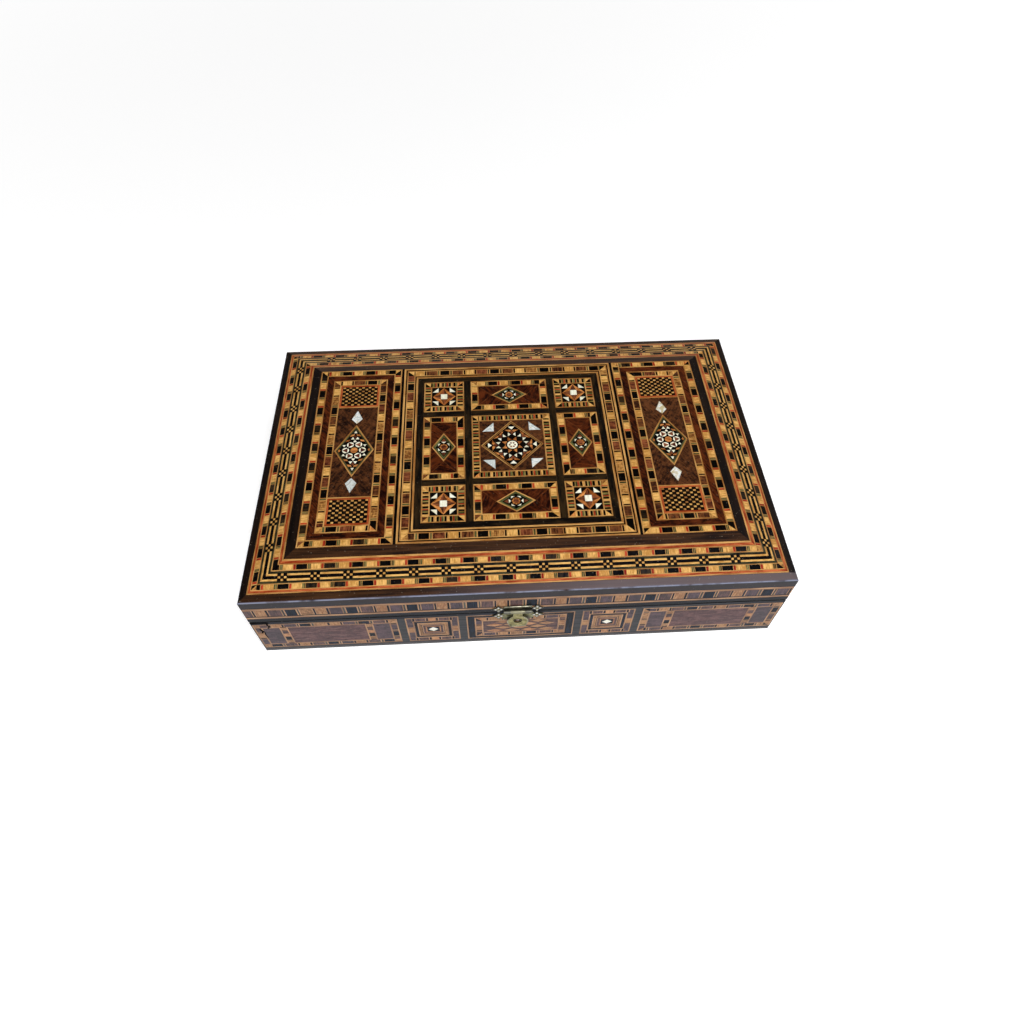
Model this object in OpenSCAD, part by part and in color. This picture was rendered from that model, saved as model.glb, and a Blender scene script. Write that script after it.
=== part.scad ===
// Chess box with a hinged lid, covered in geometric marquetry.
// The base is a shallow tray of mitred walnut boards on a bottom board. The lid is a mitred
// rim with a plywood panel, a sloped border and a raised flat field. All the marquetry is
// made of thin sheets let flush into the boards. Two butt hinges sit in a V groove at the
// back of the seam, and a small latch with a hanging flap closes the front.
// The box stands on z = 0, centred on the origin. The latch faces -Y and +X is to the right.

/* [Carcass] */
// Outside width of the box, left to right
box_w = 380; // [350:5:420]
// Outside depth of the box, front to back
box_d = 246.5; // [235:0.5:280]
// Height of the seam between the base and the lid
seam_z = 45.5; // [43:0.5:60]
// Thickness of the bottom board, whose dark edge shows all round
bottom_t = 5; // [4:0.5:7]
// Thickness of the base walls and the lid rails
wall_t = 9.5; // [9:0.5:12]
// Thickness of the marquetry sheets
sheet_t = 1.6; // [1:0.1:2]
// Thickness of the felt lining
lining_t = 1.2; // [0.8:0.1:2]
// Bare wood left between the wall lining and the seam
lining_drop = 3; // [2:0.5:6]

/* [Lid] */
// Height of the lid rails above the seam
rail_h = 20; // [18:0.5:30]
// Height of the dark outer edge of the slope boards
edge_h = 7.7; // [7:0.1:12]
// Width of the dark margin between that edge and the border marquetry
edge_w = 5.7; // [4:0.1:8]
// Plan width of the sloped border
slope_run = 36.4; // [33:0.2:42]
// Rise of the sloped border from its edge to the field
slope_rise = 9.1; // [6:0.1:12]
// Radius of the worn arris on the outer edge of the lid
arris_r = 1.5; // [0.5:0.1:2.5]
// Thickness of the plywood panel under the top
ply_t = 5; // [3:0.5:5]

/* [Border rods] */
// Width of a light rod in the sloped border
rod_light = 1; // [0.8:0.05:1.3]
// Width of a red rod in the sloped border
rod_red = 1.7; // [1:0.1:2]
// Width of a row of blocks in the sloped border
rod_block = 3.3; // [2.5:0.1:3.6]
// Width of a dark rod in the sloped border
rod_dark = 1.4; // [1:0.1:1.6]
// Width of the black core rod with its checker crosses
rod_core = 2.2; // [1.5:0.1:2.4]
// Width of the light rods on both sides of the core
rod_flank = 1.5; // [1:0.1:1.7]

/* [Lid rim band] */
// Height of the bare dark strip between the seam and the rim band
lid_strip_h = 5; // [4.2:0.1:7]
// Height of the lower light rod of the rim band
rim_low = 2; // [1:0.1:3]
// Height of the dark rods of the rim band
rim_dark = 1; // [0.6:0.1:1.6]
// Height of the upper light rod of the rim band
rim_high = 2.6; // [1:0.1:4]

/* [Wall marquetry] */
// Height of the bare dark strip under the seam
rim_strip_h = 4; // [3.9:0.1:7]
// Width of the two square panels of a wall
square_w = 38; // [34:0.5:42]
// Width of the middle panel of the front and the back
middle_w = 78; // [60:1:90]
// Width of the bare dark wood between two panels
panel_gap = 5.5; // [3:0.5:8]
// Bare wood between the end panels and the corners of the box
corner_gap = 0.6; // [0.4:0.1:1.5]
// Width of a light stringing line
line_w = 0.8; // [0.5:0.1:1.2]
// Width of the block fillets on the walls, with their lines
wall_fillet = 6; // [4:0.2:6.6]
// Width of the small fields at both ends of a long panel
end_field_w = 11.5; // [8:0.5:14]
// Half width of the bone diamond in a square panel
diamond_w = 3.6; // [2:0.1:4]
// Half height of the bone diamond in a square panel
diamond_h = 3.1; // [2:0.1:4]
// Black margin between the bone diamond and the innermost stepped frame
diamond_gap = 0.5; // [0.3:0.1:1]
// Dark margin beside the fillet of the middle front panel
flame_side = 5; // [3:0.5:8]
// Dark margin above and below the fillet of the middle front panel
flame_end = 2.5; // [1:0.5:3]
// Length of one lozenge in the flame pattern
flame_l = 12.6; // [8:0.2:14]
// Number of lozenge rows in the flame pattern
flame_rows = 4; // [3:1:5]

/* [Lid field] */
// Width of the two side panels of the field
side_w = 66.4; // [62:0.2:70]
// Width of the dark divider between a side panel and the centre panel
divider_w = 2; // [1:0.5:4]
// Width of the fillets in the field, with their lines
fillet = 6.2; // [5:0.1:6.6]
// Width of the mahogany border of the side panels
border_w = 5.2; // [4:0.1:6]
// Depth of the checker panels at the ends of the side panels
checker_d = 24; // [16:1:28]
// Width of the red frame round each checker panel
checker_frame = 1.5; // [1:0.1:2.5]
// Width of the edge lines of the centre frame
frame_edge = 1.5; // [1:0.1:2]
// Width of the dark lines of the centre frame
frame_dark = 1; // [0.6:0.1:1.2]
// Width of the block row of the centre frame
frame_block = 5; // [4:0.1:5.2]
// Width of the dark strip inside the centre frame
ground_w = 5.2; // [3:0.1:6]
// Width of the dark strips between the nine cells
strip_w = 5.6; // [4:0.1:7]
// Width of the outer columns of cells
cell_w = 32; // [30:0.5:34]
// Depth of the outer rows of cells
cell_d = 33; // [30:0.5:35]
// Width of each line round a lozenge or the centre diamond
rhomb_line = 1; // [0.6:0.1:1.2]
// Gap between a lozenge's tips and the edge of its field
rhomb_gap = 0.6; // [0.4:0.1:2]
// Length of the lozenges in the middle cells, as a share of the cell's field
lozenge_share = 0.58; // [0.45:0.01:0.7]
// Side of the bone square in a corner cell
bone_square = 5; // [3:0.5:6]
// Gap between the bone triangles and the edge of their field
bone_gap = 0.4; // [0.2:0.1:1]
// Gap between the bone triangles and the rhombus star
bone_clear = 0.4; // [0.2:0.1:1]
// Gap between the pearl triangles and the edge of their field
pearl_gap = 1.9; // [0.5:0.1:2.5]
// Gap between the pearl triangles and the centre diamond
pearl_clear = 2.6; // [0.5:0.1:3.5]
// Length of the pearl kites in the side panels
kite_l = 14; // [10:0.5:15]
// Width of the pearl kites in the side panels
kite_w = 8.5; // [6:0.5:10]
// Gap between a pearl kite and the tip of its lozenge
kite_gap = 1; // [0.4:0.1:2]
// Gap between a pearl kite and the end of the burl panel
kite_margin = 3.4; // [1:0.1:5]

/* [Hinges] */
// Distance of each hinge from the middle of the box
hinge_x = 118; // [60:1:140]
// Length of a hinge along the seam
hinge_l = 30; // [24:1:40]
// Distance of the hinge axis from the back face
hinge_inset = 3.2; // [2.8:0.1:3.2]
// Outside radius of the hinge barrel
barrel_r = 1.75; // [1.4:0.05:1.9]
// Radius of the hinge pins
hinge_pin_r = 0.6; // [0.5:0.05:0.8]
// Thickness of the hinge leaves
leaf_t = 1; // [0.8:0.1:1.2]
// Angle at which the bevelled back edges stop the lid
stop_angle = 98; // [90:1:100]
// Distance of the screws from the hinge axis
screw_back = 4; // [3.8:0.1:4.2]
// Distance between the two screws of a leaf
screw_pitch = 18; // [14:1:20]
// Radius of the screw heads
screw_head_r = 1.4; // [1.2:0.1:1.5]
// Radius of the screw shanks
screw_r = 0.8; // [0.6:0.1:0.9]
// Length of the screws
screw_l = 7; // [5:0.5:9]

/* [Latch] */
// Middle of the latch, left or right of the middle of the box
latch_x = -2.3; // [-10:0.1:10]
// Height of the flap's pin above the seam
latch_up = 3.1; // [2.8:0.1:4]
// Distance of the flap's pin from the front face
latch_out = 2.2; // [2:0.1:3]
// Thickness of the two latch plates
plate_t = 0.6; // [0.5:0.1:0.7]
// Thickness of the flap
flap_t = 0.7; // [0.5:0.1:0.8]
// Outside radius of the latch knuckles
knuckle_r = 1.35; // [1.2:0.05:1.5]
// Radius of the latch pin
latch_pin_r = 0.6; // [0.4:0.05:0.7]
// Width of the flap's knuckle
flap_knuckle_w = 10; // [8:0.5:12]
// Width over both side knuckles of the lid plate
latch_knuckle_w = 20; // [18:0.5:24]
// Distance of the ornament centres from the middle of the latch
ornament_x = 13.6; // [12:0.1:16]
// Reach of the pointed ornaments at the ends of the plates
ornament_r = 4.6; // [3.8:0.1:5]
// Height of the lid plate's ornament centres above the seam
lid_ornament_up = 4.8; // [4.8:0.1:6]
// Depth of the keeper's ornament centres below the seam
keeper_ornament_down = 4.9; // [4.8:0.1:6]
// Length of the flap below its pin
flap_l = 22; // [20:0.5:26]
// Largest width of the flap
flap_w = 15.6; // [13:0.2:17]
// Distance of the flap's hole from its pin
hole_down = 13; // [12:0.5:15]
// Radius of the flap's hole
hole_r = 2.4; // [2.2:0.1:3]
// Radius of the stud that the flap is pressed over
stud_r = 1.6; // [1.2:0.1:1.8]
// Height of the stud above the keeper plate
stud_h = 1.05; // [0.7:0.05:1.1]
// Radius of the nail heads
nail_head_r = 1; // [0.8:0.1:1.3]
// Radius of the nail shanks
nail_r = 0.5; // [0.4:0.05:0.6]
// Length of the nails in the wood
nail_l = 5; // [3:0.5:6]

/* [Fits] */
// Radial clearance of a pin, screw or nail in its hole
pin_fit = 0.05; // [0.02:0.01:0.1]
// Gap between two knuckles, and between a knuckle and a leaf
knuckle_gap = 0.2; // [0.1:0.05:0.4]
// Clearance of the wood round the hinge barrel
barrel_relief = 0.3; // [0.2:0.05:0.5]
// Angle left open between the bevels when the lid is fully open
stop_play = 0.8; // [0.4:0.1:1.5]

/* [Hidden] */

// Colours of the woods and metals
walnut = "#38261c";
light = "#d9a25a";
blocks = "#9a6a34";
mahogany = "#5a2316";
burl = "#4a3222";
ebony = "#14110f";
bone = "#efe9cf";
padauk = "#b5602a";
dyed_red = "#a8402a";
green = "#5d6638";
pearl = "#d5d8d6";
checker = "#6e4a26";
beech = "#b08a5c";
felt = "#6d1a24";
brass = "#9c8f4e";
steel = "#8d8a82";

// Resolution of round parts, and the overshoot of a cut past a face
$fn = 48;
past = 1;

// Heights of the lid
rail_z = seam_z + rail_h;
edge_z = rail_z + edge_h;
field_z = edge_z + slope_rise;
ply_z = rail_z + ply_t;
slope_a = atan(slope_rise / slope_run);
sheet_v = sheet_t / cos(slope_a);

// The four sides are numbered as the front is turned: front, right, back, left
FRONT = 0;
RIGHT = 1;
BACK = 2;
LEFT = 3;
function side_len(i) = i % 2 == 0 ? box_w : box_d;
function side_off(i) = i % 2 == 0 ? box_d / 2 : box_w / 2;

module on_side(i) {
  rotate([0, 0, 90 * i]) children();
}

// Plan of a mitred strip of thickness t along side i
module mitred_plan(i, t) {
  half = side_len(i) / 2;
  off = side_off(i);
  polygon([[-half, -off], [half, -off], [half - t, t - off], [t - half, t - off]]);
}

// A mitred board along side i
module mitred_board(i, z0, z1, t) {
  on_side(i) translate([0, 0, z0]) linear_extrude(z1 - z0) mitred_plan(i, t);
}

// A flat outline in wall coordinates, made a sheet that is flush with the outside of side i
module wall_sheet(i) {
  on_side(i) intersection() {
    translate([0, sheet_t - side_off(i), 0]) rotate([90, 0, 0]) linear_extrude(sheet_t) children();
    linear_extrude(field_z) mitred_plan(i, sheet_t);
  }
}

// An upright rectangle in wall coordinates
module wall_rect(s0, s1, z0, z1) {
  translate([s0, z0]) square([s1 - s0, z1 - z0]);
}

// A centred rectangle, and a frame with its outside size and width
module rect(w, h) {
  square([w, h], center = true);
}

module ring(w, h, t) {
  difference() {
    rect(w, h);
    rect(w - 2 * t, h - 2 * t);
  }
}

// Two lines with a core between them: the outline of a fillet
module fillet_lines(w, h, f) {
  ring(w, h, line_w);
  ring(w - 2 * (f - line_w), h - 2 * (f - line_w), line_w);
}

module fillet_core(w, h, f) {
  ring(w - 2 * line_w, h - 2 * line_w, f - 2 * line_w);
}

// Rhombus with half diagonals a and b, and its half diagonals moved in by t
module rhomb(a, b) {
  polygon([[a, 0], [0, b], [-a, 0], [0, -b]]);
}

function rhomb_in_a(a, b, t) = a - t * norm([a, b]) / b;
function rhomb_in_b(a, b, t) = b - t * norm([a, b]) / a;

// Line number k, counted from outside, of a rhombus
module rhomb_ring(a, b, k) {
  t0 = k * rhomb_line;
  t1 = t0 + rhomb_line;
  difference() {
    rhomb(rhomb_in_a(a, b, t0), rhomb_in_b(a, b, t0));
    rhomb(rhomb_in_a(a, b, t1), rhomb_in_b(a, b, t1));
  }
}

module rhomb_core(a, b, lines) {
  t = lines * rhomb_line;
  rhomb(rhomb_in_a(a, b, t), rhomb_in_b(a, b, t));
}

// Layout of the walls
panel_z0 = bottom_t;
panel_z1 = seam_z - rim_strip_h;
panel_h = panel_z1 - panel_z0;
square_x = middle_w / 2 + panel_gap + square_w / 2;
long_in = square_x + square_w / 2 + panel_gap;
long_out = box_w / 2 - corner_gap;
end_in = square_w / 2 + panel_gap;
end_out = box_d / 2 - corner_gap;

function long_x(i) = i % 2 == 0 ? (long_in + long_out) / 2 : (end_in + end_out) / 2;
function long_w(i) = i % 2 == 0 ? long_out - long_in : end_out - end_in;

module at_long_panels(i) {
  for (s = [-1, 1]) translate([s * long_x(i), (panel_z0 + panel_z1) / 2]) children();
}

module at_square_panels(i) {
  places = i % 2 == 0 ? [-square_x, square_x] : [0];
  for (s = places) translate([s, (panel_z0 + panel_z1) / 2]) children();
}

module at_middle_panel() {
  translate([0, (panel_z0 + panel_z1) / 2]) children();
}

// The places of a long panel's three fields: a small one at each end of a wide one
field_h = panel_h - 2 * wall_fillet;
module long_fields(w, grow = 0) {
  main_w = w - 4 * wall_fillet - 2 * end_field_w;
  rect(main_w + 2 * grow, field_h + 2 * grow);
  for (s = [-1, 1]) {
    translate([s * (main_w / 2 + wall_fillet + end_field_w / 2), 0])
      rect(end_field_w + 2 * grow, field_h + 2 * grow);
  }
}

// Sizes of the middle front panel
flame_frame_w = middle_w - 2 * (line_w + flame_side);
flame_frame_h = panel_h - 2 * (line_w + flame_end);
flame_w = flame_frame_w - 2 * wall_fillet;
flame_h = flame_frame_h - 2 * wall_fillet;
flame_row_h = flame_h / flame_rows;
flame_cols = floor(flame_w / flame_l);

module flame_lozenges() {
  for (r = [0 : flame_rows - 1]) {
    shift = r % 2 == 0 ? 0 : flame_l / 2;
    for (c = [0 : flame_cols - 1 - r % 2]) {
      translate([(c + 0.5 - flame_cols / 2) * flame_l + shift, (r + 0.5 - flame_rows / 2) * flame_row_h])
        rhomb(flame_l / 2 - line_w / 2, flame_row_h / 2 - line_w / 4);
    }
  }
}

// The whole area of the panels of wall i, which is sunk into its board
module wall_panels(i) {
  at_long_panels(i) rect(long_w(i), panel_h);
  at_square_panels(i) rect(square_w, panel_h);
  if (i % 2 == 0) at_middle_panel() rect(middle_w, panel_h);
}

module wall_lines(i) {
  at_long_panels(i) {
    ring(long_w(i), panel_h, line_w);
    difference() {
      long_fields(long_w(i), line_w);
      long_fields(long_w(i));
    }
  }
  at_square_panels(i) fillet_lines(square_w, panel_h, wall_fillet);
  if (i == FRONT) at_middle_panel() {
    ring(middle_w, panel_h, line_w);
    fillet_lines(flame_frame_w, flame_frame_h, wall_fillet);
  }
  if (i == BACK) at_middle_panel() fillet_lines(middle_w, panel_h, wall_fillet);
}

module wall_blocks(i) {
  at_long_panels(i) difference() {
    rect(long_w(i) - 2 * line_w, panel_h - 2 * line_w);
    long_fields(long_w(i), line_w);
  }
  at_square_panels(i) fillet_core(square_w, panel_h, wall_fillet);
  if (i == FRONT) at_middle_panel() fillet_core(flame_frame_w, flame_frame_h, wall_fillet);
  if (i == BACK) at_middle_panel() fillet_core(middle_w, panel_h, wall_fillet);
}

module wall_fields(i) {
  at_long_panels(i) long_fields(long_w(i));
  if (i == FRONT) at_middle_panel() difference() {
    rect(flame_w, flame_h);
    flame_lozenges();
  }
  if (i == BACK) at_middle_panel() rect(middle_w - 2 * wall_fillet, field_h);
}

// The dark margin of the middle front panel, and every other stepped frame
module wall_ebony(i) {
  if (i == FRONT) at_middle_panel() difference() {
    rect(middle_w - 2 * line_w, panel_h - 2 * line_w);
    rect(flame_frame_w, flame_frame_h);
  }
  at_square_panels(i) for (k = [0, 2]) stepped_frame(k);
  at_square_panels(i) difference() {
    inside_steps(steps);
    wall_diamond();
  }
}

module wall_padauk(i) {
  at_square_panels(i) for (k = [1, 3]) stepped_frame(k);
}

module wall_diamonds(i) {
  at_square_panels(i) wall_diamond();
}

// Stepped frames of a square panel, of equal width between the fillet and the diamond's ground
steps = 4;
step_w = (square_w / 2 - wall_fillet - diamond_w - diamond_gap) / steps;
step_h = (panel_h / 2 - wall_fillet - diamond_h - diamond_gap) / steps;

// What is left inside the first k frames, counted from outside, and frame number k itself
module inside_steps(k) {
  rect(square_w - 2 * (wall_fillet + k * step_w), panel_h - 2 * (wall_fillet + k * step_h));
}

module stepped_frame(k) {
  difference() {
    inside_steps(k);
    inside_steps(k + 1);
  }
}

module wall_diamond() {
  rhomb(diamond_w, diamond_h);
}

// Hinge line: the bevels of the back edges meet on the hinge axis
axis_y = box_d / 2 - hinge_inset;
bevel_a = (stop_angle + stop_play) / 2;
leaf_reach = wall_t - hinge_inset;

// Three-sided prism that bevels the back edge below (down = 1) or above (down = -1) the seam
module back_bevel(down) {
  reach = hinge_inset + past;
  translate([-box_w / 2 - past, axis_y, seam_z]) rotate([90, 0, 90]) linear_extrude(box_w + 2 * past)
    polygon([[0, 0], [reach, -down * reach * tan(bevel_a)], [reach, down * past], [0, down * past]]);
}

module at_hinges() {
  for (s = [-1, 1]) translate([s * hinge_x, axis_y, seam_z]) children();
}

// Holes for the leaf, the barrel and the screws of both hinges
module hinge_seats(down) {
  at_hinges() {
    seat_z = down > 0 ? -leaf_t : -past;
    translate([-hinge_l / 2, -leaf_reach - past, seat_z])
      cube([hinge_l, leaf_reach + past, leaf_t + past]);
    rotate([0, 90, 0])
      cylinder(r = barrel_r + barrel_relief, h = hinge_l + 2 * barrel_relief, center = true);
    at_screws() rotate([down > 0 ? 180 : 0, 0, 0])
      cylinder(r = screw_r + pin_fit, h = screw_l + pin_fit);
  }
}

module at_screws() {
  for (s = [-1, 1]) translate([s * screw_pitch / 2, -screw_back, 0]) children();
}

// Places of the latch nails and the stud on the front face, in wall coordinates
latch_z = seam_z + latch_up;
lid_ornament_z = seam_z + lid_ornament_up;
keeper_ornament_z = seam_z - keeper_ornament_down;
stud_z = latch_z - hole_down;

module at_front(x, z) {
  translate([x, -box_d / 2, z]) rotate([90, 0, 0]) children();
}

module at_nails(z) {
  for (s = [-1, 1]) at_front(latch_x + s * ornament_x, z) children();
}

// Holes in the wood for the nails and the stud
module latch_holes() {
  for (z = [lid_ornament_z, keeper_ornament_z]) {
    at_nails(z) translate([0, 0, -nail_l - pin_fit]) cylinder(r = nail_r + pin_fit, h = nail_l + past);
  }
  at_front(latch_x, stud_z) translate([0, 0, -nail_l - pin_fit])
    cylinder(r = nail_r + pin_fit, h = nail_l + past);
}

// Base: bottom board, four mitred boards with sunk panels, marquetry and lining
module base_board(i) {
  difference() {
    mitred_board(i, bottom_t, seam_z, wall_t);
    wall_sheet(i) wall_panels(i);
    if (i != FRONT) back_bevel(1);
    if (i == BACK) hinge_seats(1);
    if (i == FRONT) latch_holes();
  }
}

module base_bottom_board() {
  color(walnut) translate([-box_w / 2, -box_d / 2, 0]) cube([box_w, box_d, bottom_t]);
}

module base_front_board() {
  color(walnut) base_board(FRONT);
}

module base_right_board() {
  color(walnut) base_board(RIGHT);
}

module base_back_board() {
  color(walnut) base_board(BACK);
}

module base_left_board() {
  color(walnut) base_board(LEFT);
}

// Front marquetry, drilled for the keeper's nails and the stud
module front_sheet() {
  difference() {
    wall_sheet(FRONT) children();
    latch_holes();
  }
}

module base_front_lines() {
  color(light) front_sheet() wall_lines(FRONT);
}

module base_front_block_fillets() {
  color(blocks) front_sheet() wall_blocks(FRONT);
}

module base_front_fields() {
  color(mahogany) front_sheet() wall_fields(FRONT);
}

module base_front_stepped_frames() {
  color(ebony) front_sheet() wall_ebony(FRONT);
  color(padauk) front_sheet() wall_padauk(FRONT);
}

module base_front_bone_diamonds() {
  color(bone) wall_sheet(FRONT) wall_diamonds(FRONT);
}

module base_front_flame_lozenges() {
  color(padauk) front_sheet() at_middle_panel() flame_lozenges();
}

module wall_marquetry(i) {
  color(light) wall_sheet(i) wall_lines(i);
  color(blocks) wall_sheet(i) wall_blocks(i);
  color(mahogany) wall_sheet(i) wall_fields(i);
  color(ebony) wall_sheet(i) wall_ebony(i);
  color(padauk) wall_sheet(i) wall_padauk(i);
  color(bone) wall_sheet(i) wall_diamonds(i);
}

module base_right_marquetry() {
  wall_marquetry(RIGHT);
}

module base_back_marquetry() {
  wall_marquetry(BACK);
}

module base_left_marquetry() {
  wall_marquetry(LEFT);
}

inner_w = box_w - 2 * wall_t;
inner_d = box_d - 2 * wall_t;

module base_floor_lining() {
  color(felt) translate([-inner_w / 2, -inner_d / 2, bottom_t]) cube([inner_w, inner_d, lining_t]);
}

module base_wall_lining() {
  z0 = bottom_t + lining_t;
  color(felt) translate([0, 0, z0]) linear_extrude(seam_z - lining_drop - z0) ring(inner_w, inner_d, lining_t);
}

// Lid: four rails, the rim band round them, the plywood panel and the raised core
rim_z0 = seam_z + lid_strip_h;
rim_rods = [rim_low, rim_dark, rail_z - rim_z0 - rim_low - 2 * rim_dark - rim_high, rim_high, rim_dark];
rim_colours = [light, ebony, blocks, light, ebony];

// Sum of the first n values of a list
function sum_to(v, n, i = 0) = i < n ? v[i] + sum_to(v, n, i + 1) : 0;

// Rod number k of the band. The rods of the two ends butt against those of the front and back
module rim_rod(i, k) {
  half = i % 2 == 0 ? box_w / 2 : box_d / 2 - sheet_t;
  z0 = rim_z0 + sum_to(rim_rods, k);
  on_side(i) translate([-half, -side_off(i), z0]) cube([2 * half, sheet_t, rim_rods[k]]);
}

module lid_rail(i) {
  difference() {
    mitred_board(i, seam_z, rail_z, wall_t);
    wall_sheet(i) wall_rect(-side_len(i) / 2 - past, side_len(i) / 2 + past, rim_z0, rail_z + past);
    if (i != FRONT) back_bevel(-1);
    if (i == BACK) hinge_seats(-1);
    if (i == FRONT) latch_holes();
  }
}

module lid_front_rail() {
  color(walnut) lid_rail(FRONT);
}

module lid_right_rail() {
  color(walnut) lid_rail(RIGHT);
}

module lid_back_rail() {
  color(walnut) lid_rail(BACK);
}

module lid_left_rail() {
  color(walnut) lid_rail(LEFT);
}

module lid_rim_band() {
  for (i = [FRONT : LEFT]) for (k = [0 : len(rim_rods) - 1]) {
    color(rim_colours[k]) difference() {
      rim_rod(i, k);
      if (i == FRONT) latch_holes();
    }
  }
}

module lid_plywood_panel() {
  color(beech) translate([0, 0, rail_z]) linear_extrude(ply_t) rect(box_w - 2 * edge_w, box_d - 2 * edge_w);
}

field_w = box_w - 2 * slope_run;
field_d = box_d - 2 * slope_run;

module lid_raised_core() {
  color(beech) translate([0, 0, ply_z]) linear_extrude(field_z - sheet_t - ply_z) rect(field_w, field_d);
}

module lid_lining() {
  color(felt) translate([0, 0, rail_z - lining_t]) linear_extrude(lining_t) rect(inner_w, inner_d);
}

// Rods of the sloped border from the outside in, with their colours
border_rods = [
  rod_light, rod_red, rod_light, rod_block, rod_light, rod_dark, rod_flank, rod_core,
  rod_flank, rod_dark, rod_light, rod_block, rod_light, rod_red, rod_light
];
border_colours = [
  light, dyed_red, light, blocks, light, ebony, light, ebony,
  light, ebony, light, blocks, light, dyed_red, light
];
border_run = sum_to(border_rods, len(border_rods)) * cos(slope_a);

// Height of the slope's surface at plan distance u from the outer edge
function slope_z(u) = edge_z + u * tan(slope_a);

// Profile across side i, drawn with u from the outer edge inwards, swept along the side
module swept_profile(i) {
  on_side(i) intersection() {
    translate([-side_len(i) / 2, -side_off(i), 0]) rotate([90, 0, 90]) linear_extrude(side_len(i)) children();
    linear_extrude(field_z + past) mitred_plan(i, slope_run);
  }
}

// The corner that the worn arris takes off the slope board
module arris_cut() {
  mid_z = slope_z(arris_r) - arris_r / cos(slope_a);
  touch_u = arris_r * (1 - sin(slope_a));
  difference() {
    polygon([
      [-past, mid_z],
      [arris_r, mid_z],
      [touch_u, slope_z(touch_u)],
      [touch_u, edge_z + past],
      [-past, edge_z + past]
    ]);
    translate([arris_r, mid_z]) circle(arris_r);
  }
}

module slope_board(i) {
  band0 = edge_w;
  band1 = edge_w + border_run;
  swept_profile(i) difference() {
    polygon([
      [0, rail_z],
      [edge_w, rail_z],
      [edge_w, ply_z],
      [slope_run, ply_z],
      [slope_run, field_z],
      [band1, slope_z(band1)],
      [band1, slope_z(band1) - sheet_v],
      [band0, slope_z(band0) - sheet_v],
      [band0, slope_z(band0)],
      [0, edge_z]
    ]);
    arris_cut();
  }
}

module lid_front_slope() {
  color(walnut) slope_board(FRONT);
}

module lid_right_slope() {
  color(walnut) slope_board(RIGHT);
}

module lid_back_slope() {
  color(walnut) slope_board(BACK);
}

module lid_left_slope() {
  color(walnut) slope_board(LEFT);
}

module border_rod(i, k) {
  u0 = edge_w + sum_to(border_rods, k) * cos(slope_a);
  u1 = u0 + border_rods[k] * cos(slope_a);
  swept_profile(i) polygon([
    [u0, slope_z(u0) - sheet_v],
    [u1, slope_z(u1) - sheet_v],
    [u1, slope_z(u1)],
    [u0, slope_z(u0)]
  ]);
}

module slope_border(i) {
  for (k = [0 : len(border_rods) - 1]) color(border_colours[k]) border_rod(i, k);
}

module lid_front_border() {
  slope_border(FRONT);
}

module lid_right_border() {
  slope_border(RIGHT);
}

module lid_back_border() {
  slope_border(BACK);
}

module lid_left_border() {
  slope_border(LEFT);
}

// Layout of the flat field: two side panels and a centre panel of nine cells
side_x = (field_w - side_w) / 2;
centre_w = field_w - 2 * (side_w + divider_w);
frame_rods = [frame_edge, frame_dark, line_w, frame_block, line_w, frame_dark, frame_edge];
frame_w = sum_to(frame_rods, len(frame_rods));
grid_w = centre_w - 2 * (frame_w + ground_w);
grid_d = field_d - 2 * (frame_w + ground_w);
mid_w = grid_w - 2 * (cell_w + strip_w);
mid_d = grid_d - 2 * (cell_d + strip_w);

module field_sheet() {
  translate([0, 0, field_z - sheet_t]) linear_extrude(sheet_t) children();
}

module at_side_panels() {
  for (s = [-1, 1]) translate([s * side_x, 0]) children();
}

module at_corner_cells() {
  for (sx = [-1, 1]) for (sy = [-1, 1]) {
    translate([sx * (grid_w - cell_w) / 2, sy * (grid_d - cell_d) / 2]) children();
  }
}

module at_end_cells() {
  for (s = [-1, 1]) translate([0, s * (grid_d - cell_d) / 2]) children();
}

module at_flank_cells() {
  for (s = [-1, 1]) translate([s * (grid_w - cell_w) / 2, 0]) children();
}

// Ring number k of the centre frame
module frame_ring(k) {
  inset = 2 * sum_to(frame_rods, k);
  ring(centre_w - inset, field_d - inset, frame_rods[k]);
}

// Sizes inside the fillets
side_border_w = side_w - 2 * fillet;
side_border_d = field_d - 2 * fillet;
side_inner_w = side_w - 2 * (fillet + border_w);
side_inner_d = field_d - 2 * (fillet + border_w);
side_field_w = side_inner_w - 2 * fillet;
side_field_d = side_inner_d - 2 * fillet;
checker_y = (side_field_d - checker_d) / 2;
side_burl_d = side_field_d - 2 * (checker_d + line_w);
in_corner_w = cell_w - 2 * fillet;
in_corner_d = cell_d - 2 * fillet;
in_end_w = mid_w - 2 * fillet;
in_flank_d = mid_d - 2 * fillet;

// Half diagonals of the rhombuses
side_a = side_field_w / 2 - rhomb_gap;
side_b = side_burl_d / 2 - kite_gap - kite_l - kite_margin;
end_a = lozenge_share * in_end_w / 2;
end_b = in_corner_d / 2 - rhomb_gap;
flank_a = in_corner_w / 2 - rhomb_gap;
flank_b = lozenge_share * in_flank_d / 2;
centre_a = in_end_w / 2 - rhomb_gap;
centre_b = in_flank_d / 2 - rhomb_gap;
corner_a = in_corner_w / 2 - rhomb_gap;
corner_b = in_corner_d / 2 - rhomb_gap;
lozenge_lines = 2;
diamond_lines = 3;

// Radius of the circle that fits inside the lines of a rhombus
function core_r(a, b, lines) = a * b / norm([a, b]) - lines * rhomb_line;

module cell_outlines() {
  at_corner_cells() rect(cell_w, cell_d);
  at_end_cells() rect(mid_w, cell_d);
  at_flank_cells() rect(cell_w, mid_d);
  rect(mid_w, mid_d);
}

module field_dark_strips() {
  color(walnut) field_sheet() {
    for (s = [-1, 1]) translate([s * (centre_w + divider_w) / 2, 0]) rect(divider_w, field_d);
    frame_ring(1);
    frame_ring(5);
    difference() {
      rect(centre_w - 2 * frame_w, field_d - 2 * frame_w);
      cell_outlines();
    }
  }
}

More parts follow.
